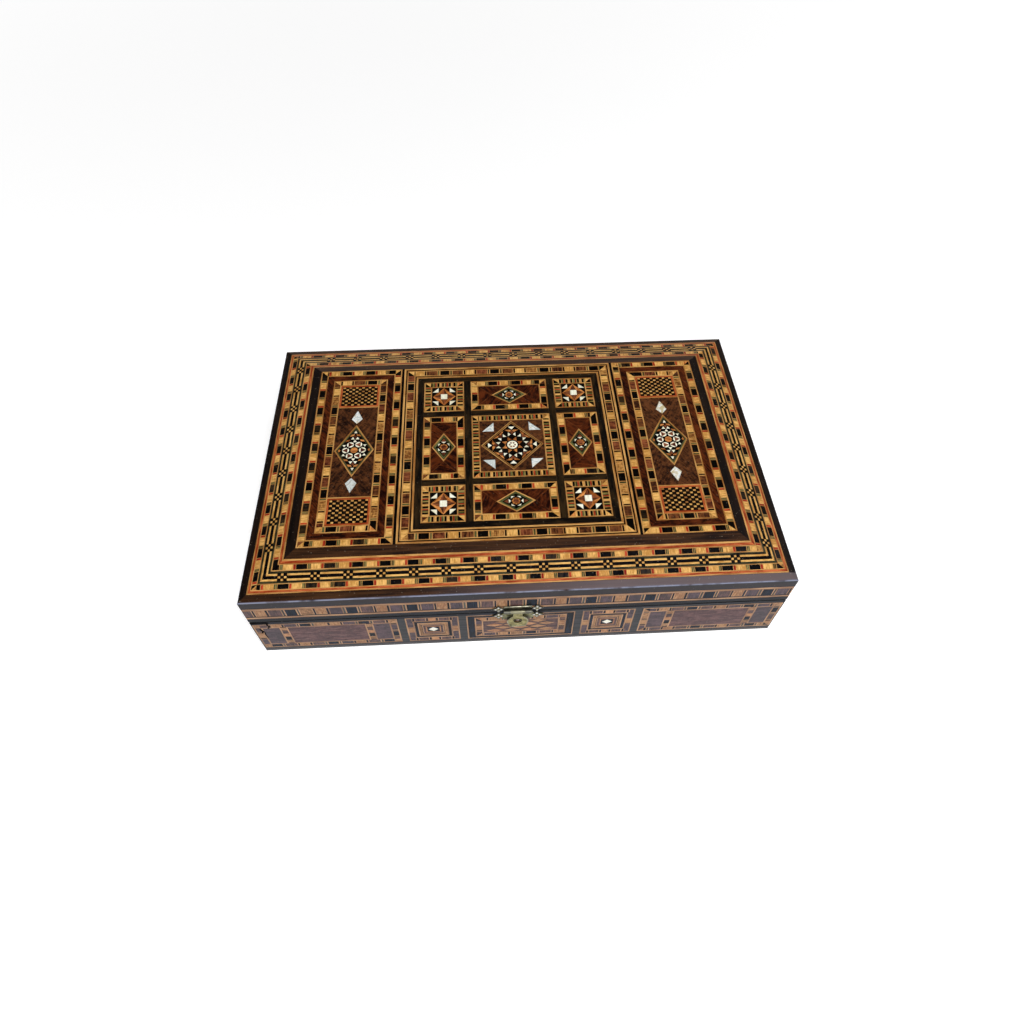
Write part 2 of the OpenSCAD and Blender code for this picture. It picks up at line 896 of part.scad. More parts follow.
module field_light_lines() {
  color(light) field_sheet() {
    at_side_panels() {
      fillet_lines(side_w, field_d, fillet);
      fillet_lines(side_inner_w, side_inner_d, fillet);
      for (s = [-1, 1]) translate([0, s * (side_burl_d + line_w) / 2]) rect(side_field_w, line_w);
      rhomb_ring(side_a, side_b, 0);
    }
    for (k = [0, 2, 4, 6]) frame_ring(k);
    at_corner_cells() fillet_lines(cell_w, cell_d, fillet);
    at_end_cells() {
      fillet_lines(mid_w, cell_d, fillet);
      rhomb_ring(end_a, end_b, 0);
    }
    at_flank_cells() {
      fillet_lines(cell_w, mid_d, fillet);
      rhomb_ring(flank_a, flank_b, 0);
    }
    fillet_lines(mid_w, mid_d, fillet);
    rhomb_ring(centre_a, centre_b, 0);
    rhomb_ring(centre_a, centre_b, 2);
  }
}

module field_green_lines() {
  color(green) field_sheet() {
    at_side_panels() rhomb_ring(side_a, side_b, 1);
    at_end_cells() rhomb_ring(end_a, end_b, 1);
    at_flank_cells() rhomb_ring(flank_a, flank_b, 1);
    rhomb_ring(centre_a, centre_b, 1);
  }
}

module field_block_fillets() {
  color(blocks) field_sheet() {
    at_side_panels() {
      fillet_core(side_w, field_d, fillet);
      fillet_core(side_inner_w, side_inner_d, fillet);
    }
    frame_ring(3);
    at_corner_cells() fillet_core(cell_w, cell_d, fillet);
    at_end_cells() fillet_core(mid_w, cell_d, fillet);
    at_flank_cells() fillet_core(cell_w, mid_d, fillet);
    fillet_core(mid_w, mid_d, fillet);
  }
}

module field_mahogany_panels() {
  color(mahogany) field_sheet() {
    at_side_panels() ring(side_border_w, side_border_d, border_w);
    at_end_cells() difference() {
      rect(in_end_w, in_corner_d);
      rhomb(end_a, end_b);
    }
    at_flank_cells() difference() {
      rect(in_corner_w, in_flank_d);
      rhomb(flank_a, flank_b);
    }
    at_corner_cells() difference() {
      rhomb_core(corner_a, corner_b, 1);
      rect(bone_square, bone_square);
    }
  }
}

// Pearl kites beyond the tips of the side lozenges, and triangles round the centre diamond
kite_head = 0.36;
module side_kites() {
  for (s = [-1, 1]) scale([1, s]) translate([0, side_b + kite_gap]) polygon([
    [0, 0],
    [kite_w / 2, kite_head * kite_l],
    [0, kite_l],
    [-kite_w / 2, kite_head * kite_l]
  ]);
}

module right_triangle(leg) {
  polygon([[0, 0], [leg, 0], [0, leg]]);
}

// Leg of a right triangle that stands in the corner of a w by d field, at a gap from the edges
// and at a clearance from the side of a rhombus with half diagonals a and b
function corner_leg(w, d, a, b, gap, clear) =
  ((w / 2 - gap) / a + (d / 2 - gap) / b - 1 - clear * norm([1 / a, 1 / b])) / (1 / a + 1 / b);

// Such a triangle in each corner, its hypotenuse towards the corner
module corner_triangles(w, d, leg, gap) {
  for (sx = [-1, 1]) for (sy = [-1, 1]) {
    scale([sx, sy]) translate([w / 2 - gap - leg, d / 2 - gap - leg]) right_triangle(leg);
  }
}

module pearl_triangles() {
  leg = corner_leg(in_end_w, in_flank_d, centre_a, centre_b, pearl_gap, pearl_clear);
  corner_triangles(in_end_w, in_flank_d, leg, pearl_gap);
}

module bone_triangles() {
  leg = corner_leg(in_corner_w, in_corner_d, corner_a, corner_b, bone_gap, bone_clear);
  corner_triangles(in_corner_w, in_corner_d, leg, bone_gap);
}

module field_burl_panels() {
  color(burl) field_sheet() {
    at_side_panels() difference() {
      rect(side_field_w, side_burl_d);
      rhomb(side_a, side_b);
      side_kites();
    }
    difference() {
      rect(in_end_w, in_flank_d);
      rhomb(centre_a, centre_b);
      pearl_triangles();
    }
  }
}

module at_checkers() {
  at_side_panels() for (s = [-1, 1]) translate([0, s * checker_y]) children();
}

module field_checker_panels() {
  color(checker) field_sheet() at_checkers() {
    rect(side_field_w - 2 * checker_frame, checker_d - 2 * checker_frame);
  }
}

module field_pearl_inlays() {
  color(pearl) field_sheet() {
    at_side_panels() side_kites();
    pearl_triangles();
  }
}

// Six-petalled star of the lozenges: petals round a disc, in shares of the star's radius
petals = 6;
petal_disc = 0.33;
petal_mid = 0.7;
petal_half_l = 0.3;
petal_half_w = 0.2;
module petal_star(r) {
  for (k = [0 : petals - 1]) rotate(k * 360 / petals) translate([petal_mid * r, 0])
    rhomb(petal_half_l * r, petal_half_w * r);
}

// Radius of the stars, as a share of the circle that fits into the lozenge
side_star = 0.63;
small_star = 0.87;
side_star_r = side_star * core_r(side_a, side_b, lozenge_lines);
end_star_r = small_star * core_r(end_a, end_b, lozenge_lines);
flank_star_r = small_star * core_r(flank_a, flank_b, lozenge_lines);

// Half diagonals of a rhombus inside its lines, from those outside its lines
function core_ab(a, b, lines) =
  [rhomb_in_a(a, b, lines * rhomb_line), rhomb_in_b(a, b, lines * rhomb_line)];

// Bone triangles towards the long tips of a side lozenge, in shares of its half diagonals
side_tip = [[-0.13, 0.64], [0.13, 0.64], [0, 0.78]];
module side_tips() {
  for (s = [-1, 1]) scale([1, s]) scale(core_ab(side_a, side_b, lozenge_lines)) polygon(side_tip);
}

// Eight-pointed star of the centre diamond, in shares of the diamond's half diagonals
star_points = 8;
star_kite = [[0.205, 0], [0.27, 0.065], [0.365, 0], [0.27, -0.065]];
star_triangle = [[0.425, 0], [0.575, 0.085], [0.575, -0.055]];
star_ray = [[0.435, 0], [0.525, 0.06], [0.67, 0], [0.525, -0.06]];
star_tip = [[0.8, 0.13], [0.8, -0.13], [0.93, 0]];
module in_star() {
  scale(core_ab(centre_a, centre_b, diamond_lines)) children();
}

module star_round(offset) {
  for (k = [0 : star_points - 1]) rotate((k + offset) * 360 / star_points) children();
}

// Radii of the disc in the middle of the star and of its bone ring
star_ring = 0.19;
star_core = 0.075;
star_unit = min(core_ab(centre_a, centre_b, diamond_lines));

module bone_shapes() {
  at_corner_cells() {
    rect(bone_square, bone_square);
    bone_triangles();
  }
  at_side_panels() {
    petal_star(side_star_r);
    side_tips();
  }
  at_end_cells() petal_star(end_star_r);
  at_flank_cells() petal_star(flank_star_r);
  difference() {
    circle(star_ring * star_unit);
    circle(star_core * star_unit);
  }
  in_star() {
    star_round(0) for (s = [-1, 1]) scale([1, s]) rotate(90 / star_points) polygon(star_triangle);
    for (k = [0 : 3]) rotate(k * 90) polygon(star_tip);
  }
}

module padauk_shapes() {
  at_side_panels() circle(petal_disc * side_star_r);
  at_end_cells() circle(petal_disc * end_star_r);
  at_flank_cells() circle(petal_disc * flank_star_r);
  circle(star_core * star_unit);
  in_star() {
    star_round(0.5) polygon(star_kite);
    star_round(0) polygon(star_ray);
  }
}

module field_bone_inlays() {
  color(bone) field_sheet() bone_shapes();
}

module field_padauk_inlays() {
  color(padauk) field_sheet() {
    padauk_shapes();
    at_corner_cells() rhomb_ring(corner_a, corner_b, 0);
    at_checkers() ring(side_field_w, checker_d, checker_frame);
  }
}

module field_ebony_inlays() {
  color(ebony) field_sheet() difference() {
    union() {
      at_side_panels() rhomb_core(side_a, side_b, lozenge_lines);
      at_end_cells() rhomb_core(end_a, end_b, lozenge_lines);
      at_flank_cells() rhomb_core(flank_a, flank_b, lozenge_lines);
      rhomb_core(centre_a, centre_b, diamond_lines);
      at_corner_cells() difference() {
        rect(in_corner_w, in_corner_d);
        rhomb(corner_a, corner_b);
      }
    }
    bone_shapes();
    padauk_shapes();
  }
}

// Butt hinges: the base leaf has the two outer knuckles, the lid leaf the middle one
knuckle_l = hinge_l / 3;

module barrel_part(x0, x1, r) {
  translate([x0, 0, 0]) rotate([0, 90, 0]) cylinder(r = r, h = x1 - x0);
}

module base_knuckles(r, gap) {
  for (s = [0, 180]) rotate([0, 0, s])
    barrel_part(knuckle_l / 2 + knuckle_gap - gap, hinge_l / 2, r);
}

module lid_knuckle(r, gap) {
  barrel_part(-knuckle_l / 2 - gap, knuckle_l / 2 + gap, r);
}

module leaf_plate(up) {
  translate([-hinge_l / 2, -leaf_reach, up > 0 ? 0 : -leaf_t]) cube([hinge_l, leaf_reach, leaf_t]);
}

// Countersunk holes of a leaf whose visible face is on the seam
module leaf_screw_holes(up) {
  at_screws() rotate([up > 0 ? 0 : 180, 0, 0]) {
    translate([0, 0, -past]) cylinder(r = screw_r + pin_fit, h = leaf_t + 2 * past);
    cylinder(r1 = screw_head_r + pin_fit, r2 = screw_r + pin_fit, h = screw_head_r - screw_r);
  }
}

module base_leaf() {
  difference() {
    union() {
      leaf_plate(-1);
      base_knuckles(barrel_r, 0);
    }
    lid_knuckle(barrel_r + knuckle_gap, knuckle_gap);
    leaf_screw_holes(-1);
    barrel_part(-hinge_l / 2 - past, hinge_l / 2 + past, hinge_pin_r + pin_fit);
  }
}

module lid_leaf() {
  difference() {
    union() {
      leaf_plate(1);
      lid_knuckle(barrel_r, 0);
    }
    base_knuckles(barrel_r + knuckle_gap, knuckle_gap);
    leaf_screw_holes(1);
    barrel_part(-hinge_l / 2 - past, hinge_l / 2 + past, hinge_pin_r + pin_fit);
  }
}

module at_hinge(s) {
  translate([s * hinge_x, axis_y, seam_z]) children();
}

module hinge_left_base_leaf() {
  color(brass) at_hinge(-1) base_leaf();
}

module hinge_left_lid_leaf() {
  color(brass) at_hinge(-1) lid_leaf();
}

module hinge_right_base_leaf() {
  color(brass) at_hinge(1) base_leaf();
}

module hinge_right_lid_leaf() {
  color(brass) at_hinge(1) lid_leaf();
}

module hinge_pins() {
  color(steel) at_hinges() barrel_part(-hinge_l / 2, hinge_l / 2, hinge_pin_r);
}

module screw() {
  cylinder(r = screw_r, h = screw_l);
  cylinder(r1 = screw_head_r, r2 = screw_r, h = screw_head_r - screw_r);
}

module hinge_base_screws() {
  color(brass) at_hinges() at_screws() rotate([180, 0, 0]) screw();
}

module hinge_lid_screws() {
  color(brass) at_hinges() at_screws() screw();
}

// Latch: pointed four-sided ornament with hollow sides, in shares of its reach
hollow_off = 0.95;
hollow_r = 0.78;
module ornament(r) {
  difference() {
    rhomb(r, r);
    for (sx = [-1, 1]) for (sy = [-1, 1]) translate([sx, sy] * hollow_off * r) circle(hollow_r * r);
  }
}

module nail_holes_2d(z) {
  for (s = [-1, 1]) translate([s * ornament_x, z]) circle(nail_r + pin_fit);
}

// A flat outline on the front face, given the plate's thickness
module front_plate() {
  at_front(latch_x, 0) linear_extrude(plate_t) children();
}

// Height of the lid plate's bar, and of the necks between the bar and its ornaments
plate_bar_h = 6.4;
neck_h = 2.4;
module lid_plate_outline() {
  difference() {
    union() {
      translate([0, seam_z + plate_bar_h / 2 + latch_up - knuckle_r]) rect(latch_knuckle_w, plate_bar_h);
      for (s = [-1, 1]) translate([s * ornament_x, lid_ornament_z]) ornament(ornament_r);
      for (s = [-1, 1]) translate([s * latch_knuckle_w / 2, lid_ornament_z]) rect(ornament_r, neck_h);
    }
    nail_holes_2d(lid_ornament_z);
  }
}

// Cylinder along the pin of the latch, between x0 and x1 from the middle of the latch
module latch_round(x0, x1, r) {
  translate([latch_x + x0, -box_d / 2 - latch_out, latch_z]) rotate([0, 90, 0]) cylinder(r = r, h = x1 - x0);
}

module latch_lid_plate() {
  k0 = flap_knuckle_w / 2 + knuckle_gap;
  k1 = latch_knuckle_w / 2;
  color(brass) difference() {
    union() {
      front_plate() lid_plate_outline();
      for (x = [-k1, k0]) {
        latch_round(x, x + k1 - k0, knuckle_r);
        translate([latch_x + x, -box_d / 2 - latch_out, latch_z - knuckle_r])
          cube([k1 - k0, latch_out, plate_t]);
      }
    }
    latch_round(-k1 - past, k1 + past, latch_pin_r + pin_fit);
  }
}

module latch_pin() {
  color(steel) latch_round(-latch_knuckle_w / 2, latch_knuckle_w / 2, latch_pin_r);
}

neck_w = 6.6;
neck_l = 6;
foot_w = 12.4;
foot_r = 1.6;
shield_z = 14;
module flap_outline() {
  translate([-neck_w / 2, -neck_l - past]) square([neck_w, neck_l + past]);
  translate([0, -shield_z]) circle(flap_w / 2);
  polygon([
    [-flap_w / 2, -shield_z],
    [flap_w / 2, -shield_z],
    [foot_w / 2, foot_r - flap_l],
    [-foot_w / 2, foot_r - flap_l]
  ]);
  translate([foot_r - foot_w / 2, -flap_l]) square([foot_w - 2 * foot_r, foot_r]);
  for (s = [-1, 1]) translate([s * (foot_w / 2 - foot_r), foot_r - flap_l]) circle(foot_r);
}

module latch_flap() {
  color(brass) difference() {
    union() {
      latch_round(-flap_knuckle_w / 2, flap_knuckle_w / 2, knuckle_r);
      translate([latch_x, -box_d / 2 - latch_out + flap_t / 2, latch_z])
        rotate([90, 0, 0]) linear_extrude(flap_t) difference() {
          flap_outline();
          translate([0, -hole_down]) circle(hole_r);
        }
    }
    latch_round(-flap_knuckle_w / 2 - past, flap_knuckle_w / 2 + past, latch_pin_r + pin_fit);
  }
}

// Keeper plate: a bar with pointed ends, small lobes, and a lobe that carries the stud
keeper_bar_h = 5.4;
keeper_lobe_r = 4;
side_lobe_r = 2.2;
module keeper_outline() {
  difference() {
    union() {
      translate([0, keeper_ornament_z]) rect(2 * ornament_x - ornament_r, keeper_bar_h);
      for (s = [-1, 1]) {
        translate([s * ornament_x, keeper_ornament_z]) ornament(ornament_r);
        translate([s * (ornament_x - ornament_r), keeper_ornament_z - keeper_bar_h / 2]) circle(side_lobe_r);
      }
      translate([0, stud_z]) circle(keeper_lobe_r);
    }
    nail_holes_2d(keeper_ornament_z);
    translate([0, stud_z]) circle(nail_r + pin_fit);
  }
}

module latch_keeper_plate() {
  color(brass) front_plate() keeper_outline();
}

// Low dome of radius r and height h, with a shank of radius nail_r below it
module domed_nail(r, h) {
  ball_r = (r * r + h * h) / (2 * h);
  translate([0, 0, plate_t]) intersection() {
    translate([0, 0, h - ball_r]) sphere(ball_r);
    cylinder(r = r + past, h = h);
  }
  translate([0, 0, -nail_l]) cylinder(r = nail_r, h = nail_l + plate_t);
}

module latch_stud() {
  color(brass) at_front(latch_x, stud_z) domed_nail(stud_r, stud_h);
}

nail_head_h = 0.5;
module latch_lid_nails() {
  color(brass) at_nails(lid_ornament_z) domed_nail(nail_head_r, nail_head_h);
}

module latch_base_nails() {
  color(brass) at_nails(keeper_ornament_z) domed_nail(nail_head_r, nail_head_h);
}

base_bottom_board();
base_front_board();
base_right_board();
base_back_board();
base_left_board();
base_front_lines();
base_front_block_fillets();
base_front_fields();
base_front_stepped_frames();
base_front_bone_diamonds();
base_front_flame_lozenges();
base_right_marquetry();
base_back_marquetry();
base_left_marquetry();
base_floor_lining();
base_wall_lining();
lid_front_rail();
lid_right_rail();
lid_back_rail();
lid_left_rail();
lid_rim_band();
lid_plywood_panel();
lid_raised_core();
lid_front_slope();
lid_right_slope();
lid_back_slope();
lid_left_slope();
lid_front_border();
lid_right_border();
lid_back_border();
lid_left_border();
lid_lining();
field_dark_strips();
field_light_lines();
field_block_fillets();
field_mahogany_panels();
field_burl_panels();
field_checker_panels();
field_green_lines();
field_ebony_inlays();
field_bone_inlays();
field_padauk_inlays();
field_pearl_inlays();
hinge_left_base_leaf();
hinge_left_lid_leaf();
hinge_right_base_leaf();
hinge_right_lid_leaf();
hinge_pins();
hinge_base_screws();
hinge_lid_screws();
latch_lid_plate();
latch_pin();
latch_flap();
latch_keeper_plate();
latch_stud();
latch_lid_nails();
latch_base_nails();
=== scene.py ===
"""An old chess box with a hinged lid, covered in geometric marquetry, on a pale studio floor."""
import math
import random

import bmesh
import bpy
from mathutils import Matrix, Vector


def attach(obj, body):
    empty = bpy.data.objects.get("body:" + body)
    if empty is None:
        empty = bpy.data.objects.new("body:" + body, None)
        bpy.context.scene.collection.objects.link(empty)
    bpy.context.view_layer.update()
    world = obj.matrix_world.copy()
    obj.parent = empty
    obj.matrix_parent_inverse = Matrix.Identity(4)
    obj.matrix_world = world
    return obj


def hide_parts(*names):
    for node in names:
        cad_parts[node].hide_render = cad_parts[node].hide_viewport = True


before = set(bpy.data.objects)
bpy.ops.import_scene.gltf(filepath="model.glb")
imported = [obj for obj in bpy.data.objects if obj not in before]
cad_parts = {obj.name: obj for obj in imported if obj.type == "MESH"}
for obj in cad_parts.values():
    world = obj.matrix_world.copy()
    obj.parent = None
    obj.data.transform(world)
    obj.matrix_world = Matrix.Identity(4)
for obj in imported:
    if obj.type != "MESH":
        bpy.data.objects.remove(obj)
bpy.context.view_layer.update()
MM = 0.001

# Camera: high in front of the box and a little to its left, as the photograph was taken.
camera_data = bpy.data.cameras.new("camera")
camera_data.sensor_width = 36
camera_data.lens = 24.855
camera_data.clip_start = 0.01
camera = bpy.data.objects.new("camera", camera_data)
camera.location = Vector((-20.4, -356.4, 491.9)) * MM
camera.rotation_euler = [math.radians(a) for a in (35.625, -0.284, -2.904)]
bpy.context.scene.collection.objects.link(camera)
bpy.context.scene.camera = camera
bpy.context.scene.view_settings.view_transform = "Standard"


# Studio: a plain pale floor that keeps the shadow, a pale surround that is dimmer overhead,
# a large soft lamp above and in front, and two weaker ones at the sides.
def linear(hex_colour):
    """An sRGB hex colour as linear red, green, blue and alpha."""
    parts = [int(hex_colour[k:k + 2], 16) / 255 for k in (1, 3, 5)]
    return [p / 12.92 if p <= 0.04045 else ((p + 0.055) / 1.055) ** 2.4 for p in parts] + [1.0]


def fill(tree, node, inputs):
    """Sets each input of a node to a value, or links it from a socket."""
    for key, value in inputs.items():
        if isinstance(value, bpy.types.NodeSocket):
            tree.links.new(value, node.inputs[key])
        else:
            node.inputs[key].default_value = value


def add(tree, kind, inputs=None, **settings):
    """A new node with its settings, and with each input a value or a link from a socket."""
    made = tree.nodes.new(kind)
    for key, value in settings.items():
        setattr(made, key, value)
    fill(tree, made, inputs or {})
    return made


def new_object(name, mesh):
    made = bpy.data.objects.new(name, mesh)
    bpy.context.scene.collection.objects.link(made)
    return made


def new_material(name):
    """A material with its node tree and its shader."""
    made = bpy.data.materials.new(name)
    made.use_nodes = True
    return made, made.node_tree, made.node_tree.nodes["Principled BSDF"]


def seen_directly(tree):
    """1 for the camera, for reflections and through glass, 0 for the light that falls on things."""
    path = add(tree, "ShaderNodeLightPath")
    mirror = add(tree, "ShaderNodeMath", {
        0: path.outputs["Is Camera Ray"], 1: path.outputs["Is Glossy Ray"]}, operation="MAXIMUM")
    return add(tree, "ShaderNodeMath", {
        0: mirror.outputs[0], 1: path.outputs["Is Transmission Ray"]}, operation="MAXIMUM").outputs[0]


FLOOR_HALF = 4.0
floor_mesh = bpy.data.meshes.new("floor")
floor_mesh.from_pydata(
    [(x * FLOOR_HALF, y * FLOOR_HALF, 0) for x, y in ((-1, -1), (1, -1), (1, 1), (-1, 1))],
    [], [(0, 1, 2, 3)])
floor = new_object("floor", floor_mesh)
# Matt paper: it takes the shadow, and gives some light of its own so that it shows as white.
paper, tree, _ = new_material("matt white paper")
tree.nodes.clear()
diffuse = add(tree, "ShaderNodeBsdfDiffuse", {"Color": (0.8, 0.8, 0.8, 1)})
place = add(tree, "ShaderNodeTexCoord").outputs["Object"]
away = add(tree, "ShaderNodeVectorMath", {0: place}, operation="LENGTH").outputs["Value"]
lift = add(tree, "ShaderNodeMapRange", {
    "Value": away, "From Min": 0.5, "From Max": 2.2, "To Min": 0.5, "To Max": 0.95})
glow = add(tree, "ShaderNodeEmission", {"Color": (1, 1, 1, 1), "Strength": lift.outputs[0]})
lifted = add(tree, "ShaderNodeAddShader", {0: diffuse.outputs[0], 1: glow.outputs[0]})
shown = add(tree, "ShaderNodeMixShader", {
    0: seen_directly(tree), 1: diffuse.outputs[0], 2: lifted.outputs[0]})
add(tree, "ShaderNodeOutputMaterial", {"Surface": shown.outputs[0]})
floor_mesh.materials.append(paper)

world = bpy.data.worlds.new("studio")
bpy.context.scene.world = world
world.use_nodes = True
tree = world.node_tree
tree.nodes.clear()
direction = add(tree, "ShaderNodeTexCoord").outputs["Generated"]
height = add(tree, "ShaderNodeSeparateXYZ", {0: direction}).outputs["Z"]
overhead = add(tree, "ShaderNodeMapRange", {
    "Value": height, "From Min": 0.1, "From Max": 0.45, "To Min": 0.6, "To Max": 0.05})
path = add(tree, "ShaderNodeLightPath")
for_camera = add(tree, "ShaderNodeMix", {
    "Factor": path.outputs["Is Camera Ray"], "A": overhead.outputs[0], "B": 1.0})
level = add(tree, "ShaderNodeMix", {"Factor": seen_directly(tree), "A": 0.8, "B": 1.0})
strength = add(tree, "ShaderNodeMath", {
    0: for_camera.outputs[0], 1: level.outputs[0]}, operation="MULTIPLY")
surround = add(tree, "ShaderNodeBackground", {
    "Color": (1, 1, 1, 1), "Strength": strength.outputs[0]})
add(tree, "ShaderNodeOutputWorld", {"Surface": surround.outputs[0]})


def soft_lamp(name, place, size, watts):
    data = bpy.data.lights.new(name, "AREA")
    data.shape = "RECTANGLE"
    data.size, data.size_y = size
    data.energy = watts
    lamp = bpy.data.objects.new(name, data)
    lamp.location = place
    lamp.rotation_euler = Vector(place).to_track_quat("Z", "Y").to_euler()
    bpy.context.scene.collection.objects.link(lamp)


soft_lamp("key lamp", (0.25, -0.78, 1.4), (0.9, 0.7), 25.0)
soft_lamp("left lamp", (-1.5, -0.3, 1.0), (0.8, 0.8), 3.0)
soft_lamp("right lamp", (1.5, 0.3, 1.0), (0.8, 0.8), 3.0)


# Carcass: mitred boards of stained walnut, rails and slope boards, worn and waxed. The grain
# runs along each board, so the boards at the ends take the same wood turned a quarter round.
def grain_pattern(tree, coords, length, width, ripple):
    """Fine fibres, and the figure of broad streaks and cross ripples, in grey from 0 to 1. length
    and width are a fibre's, in millimetres. Real pores are a few tenths of a millimetre wide, too
    fine to show, so the fibres are drawn about a millimetre wide."""
    drawn = add(tree, "ShaderNodeVectorMath", {
        0: coords, 1: (1 / (length * MM), 1 / (width * MM), 1 / (width * MM))}, operation="MULTIPLY")
    fibres = add(tree, "ShaderNodeTexNoise", {
        "Vector": drawn.outputs[0], "Scale": 1.0, "Detail": 5.0, "Roughness": 0.62})
    slow = add(tree, "ShaderNodeVectorMath", {0: drawn.outputs[0], 1: (0.5, 0.3, 0.3)}, operation="MULTIPLY")
    streaks = add(tree, "ShaderNodeTexNoise", {
        "Vector": slow.outputs[0], "Scale": 1.0, "Detail": 2.0, "Distortion": 0.8})
    ripple_l, ripple_w = 1.7, 4.5
    across = add(tree, "ShaderNodeVectorMath", {
        0: coords, 1: (1 / (ripple_l * MM), 1 / (ripple_w * MM), 1 / (ripple_w * MM))},
        operation="MULTIPLY")
    ripples = add(tree, "ShaderNodeTexNoise", {
        "Vector": across.outputs[0], "Scale": 1.0, "Detail": 2.0, "Distortion": 1.2})
    broad = add(tree, "ShaderNodeMix", {
        "Factor": ripple, "A": streaks.outputs[0], "B": ripples.outputs[0]})
    figure = add(tree, "ShaderNodeMix", {"Factor": 0.5, "A": fibres.outputs[0], "B": broad.outputs[0]})
    return fibres.outputs[0], figure.outputs[0]


def object_coords(tree, turn):
    """Object coordinates with the grain along X, after a quarter turn for the boards at the ends."""
    place = add(tree, "ShaderNodeTexCoord").outputs["Object"]
    if not turn:
        return place
    return add(tree, "ShaderNodeMapping", {"Vector": place, "Rotation": (0, 0, math.pi / 2)}).outputs[0]


def finish_wood(material, colour, fibres, polish, relief, gloss=0.5):
    """The colour with a few specks of dust in the wax, where one could lie every 1.1 mm, and a
    sheen and a relief, in millimetres, from the fibres."""
    tree = material.node_tree
    dust = add(tree, "ShaderNodeTexNoise", {
        "Vector": add(tree, "ShaderNodeTexCoord").outputs["Object"], "Scale": 0.9 / MM, "Detail": 1.0})
    specks = add(tree, "ShaderNodeMapRange", {
        "Value": dust.outputs[0], "From Min": 0.71, "From Max": 0.8, "To Max": 0.4})
    dusty = add(tree, "ShaderNodeMix", {
        "Factor": specks.outputs[0], "A": colour, "B": linear("#b4aa98")}, data_type="RGBA")
    rough = add(tree, "ShaderNodeMapRange", {
        "Value": fibres, "From Min": 0.3, "From Max": 0.7, "To Min": polish, "To Max": polish + 0.16})
    bump = add(tree, "ShaderNodeBump", {"Strength": 0.6, "Distance": relief * MM, "Height": fibres})
    fill(tree, tree.nodes["Principled BSDF"], {
        "Base Color": dusty.outputs["Result"], "Roughness": rough.outputs[0],
        "Normal": bump.outputs[0], "Specular IOR Level": gloss, "Specular Tint": linear("#dde5ff")})
    return material


# Heights in millimetres: the middle of the dark line at the seam, which is half a millimetre
# above the joint itself, and the lid's arris.
SEAM_Z, EDGE_Z = 46.0, 73.2


def zone(tree, start, *ramps):
    """A share that covers one part of the box: start, times a ramp along each axis that rises
    from 0 at its first place in millimetres to its most at the second."""
    axes = add(tree, "ShaderNodeSeparateXYZ", {0: add(tree, "ShaderNodeTexCoord").outputs["Object"]})
    share = start
    for axis, low, high, most in ramps:
        ramp = add(tree, "ShaderNodeMapRange", {
            "Value": axes.outputs[axis], "From Min": low * MM, "From Max": high * MM, "To Max": most})
        share = add(tree, "ShaderNodeMath", {
            0: ramp.outputs[0], 1: share}, operation="MULTIPLY").outputs[0]
    return share


def seam_grime_and_shade(tree, coords):
    """Grime and painted shade on both sides of the seam, in a band of one to three millimetres
    that swells and narrows every few centimetres."""
    height = add(tree, "ShaderNodeSeparateXYZ", {
        0: add(tree, "ShaderNodeTexCoord").outputs["Object"]}).outputs["Z"]
    above = add(tree, "ShaderNodeMath", {0: height, 1: SEAM_Z * MM}, operation="SUBTRACT")
    off = add(tree, "ShaderNodeMath", {0: above.outputs[0]}, operation="ABSOLUTE")
    uneven = add(tree, "ShaderNodeTexNoise", {"Vector": coords, "Scale": 0.03 / MM, "Detail": 4.0})
    reach = add(tree, "ShaderNodeMapRange", {
        "Value": uneven.outputs[0], "From Min": 0.35, "From Max": 0.65,
        "To Min": 0.45 * MM, "To Max": 1.3 * MM})
    return add(tree, "ShaderNodeMapRange", {
        "Value": off.outputs[0], "From Min": 1.5 * MM, "From Max": reach.outputs[0]}).outputs[0]


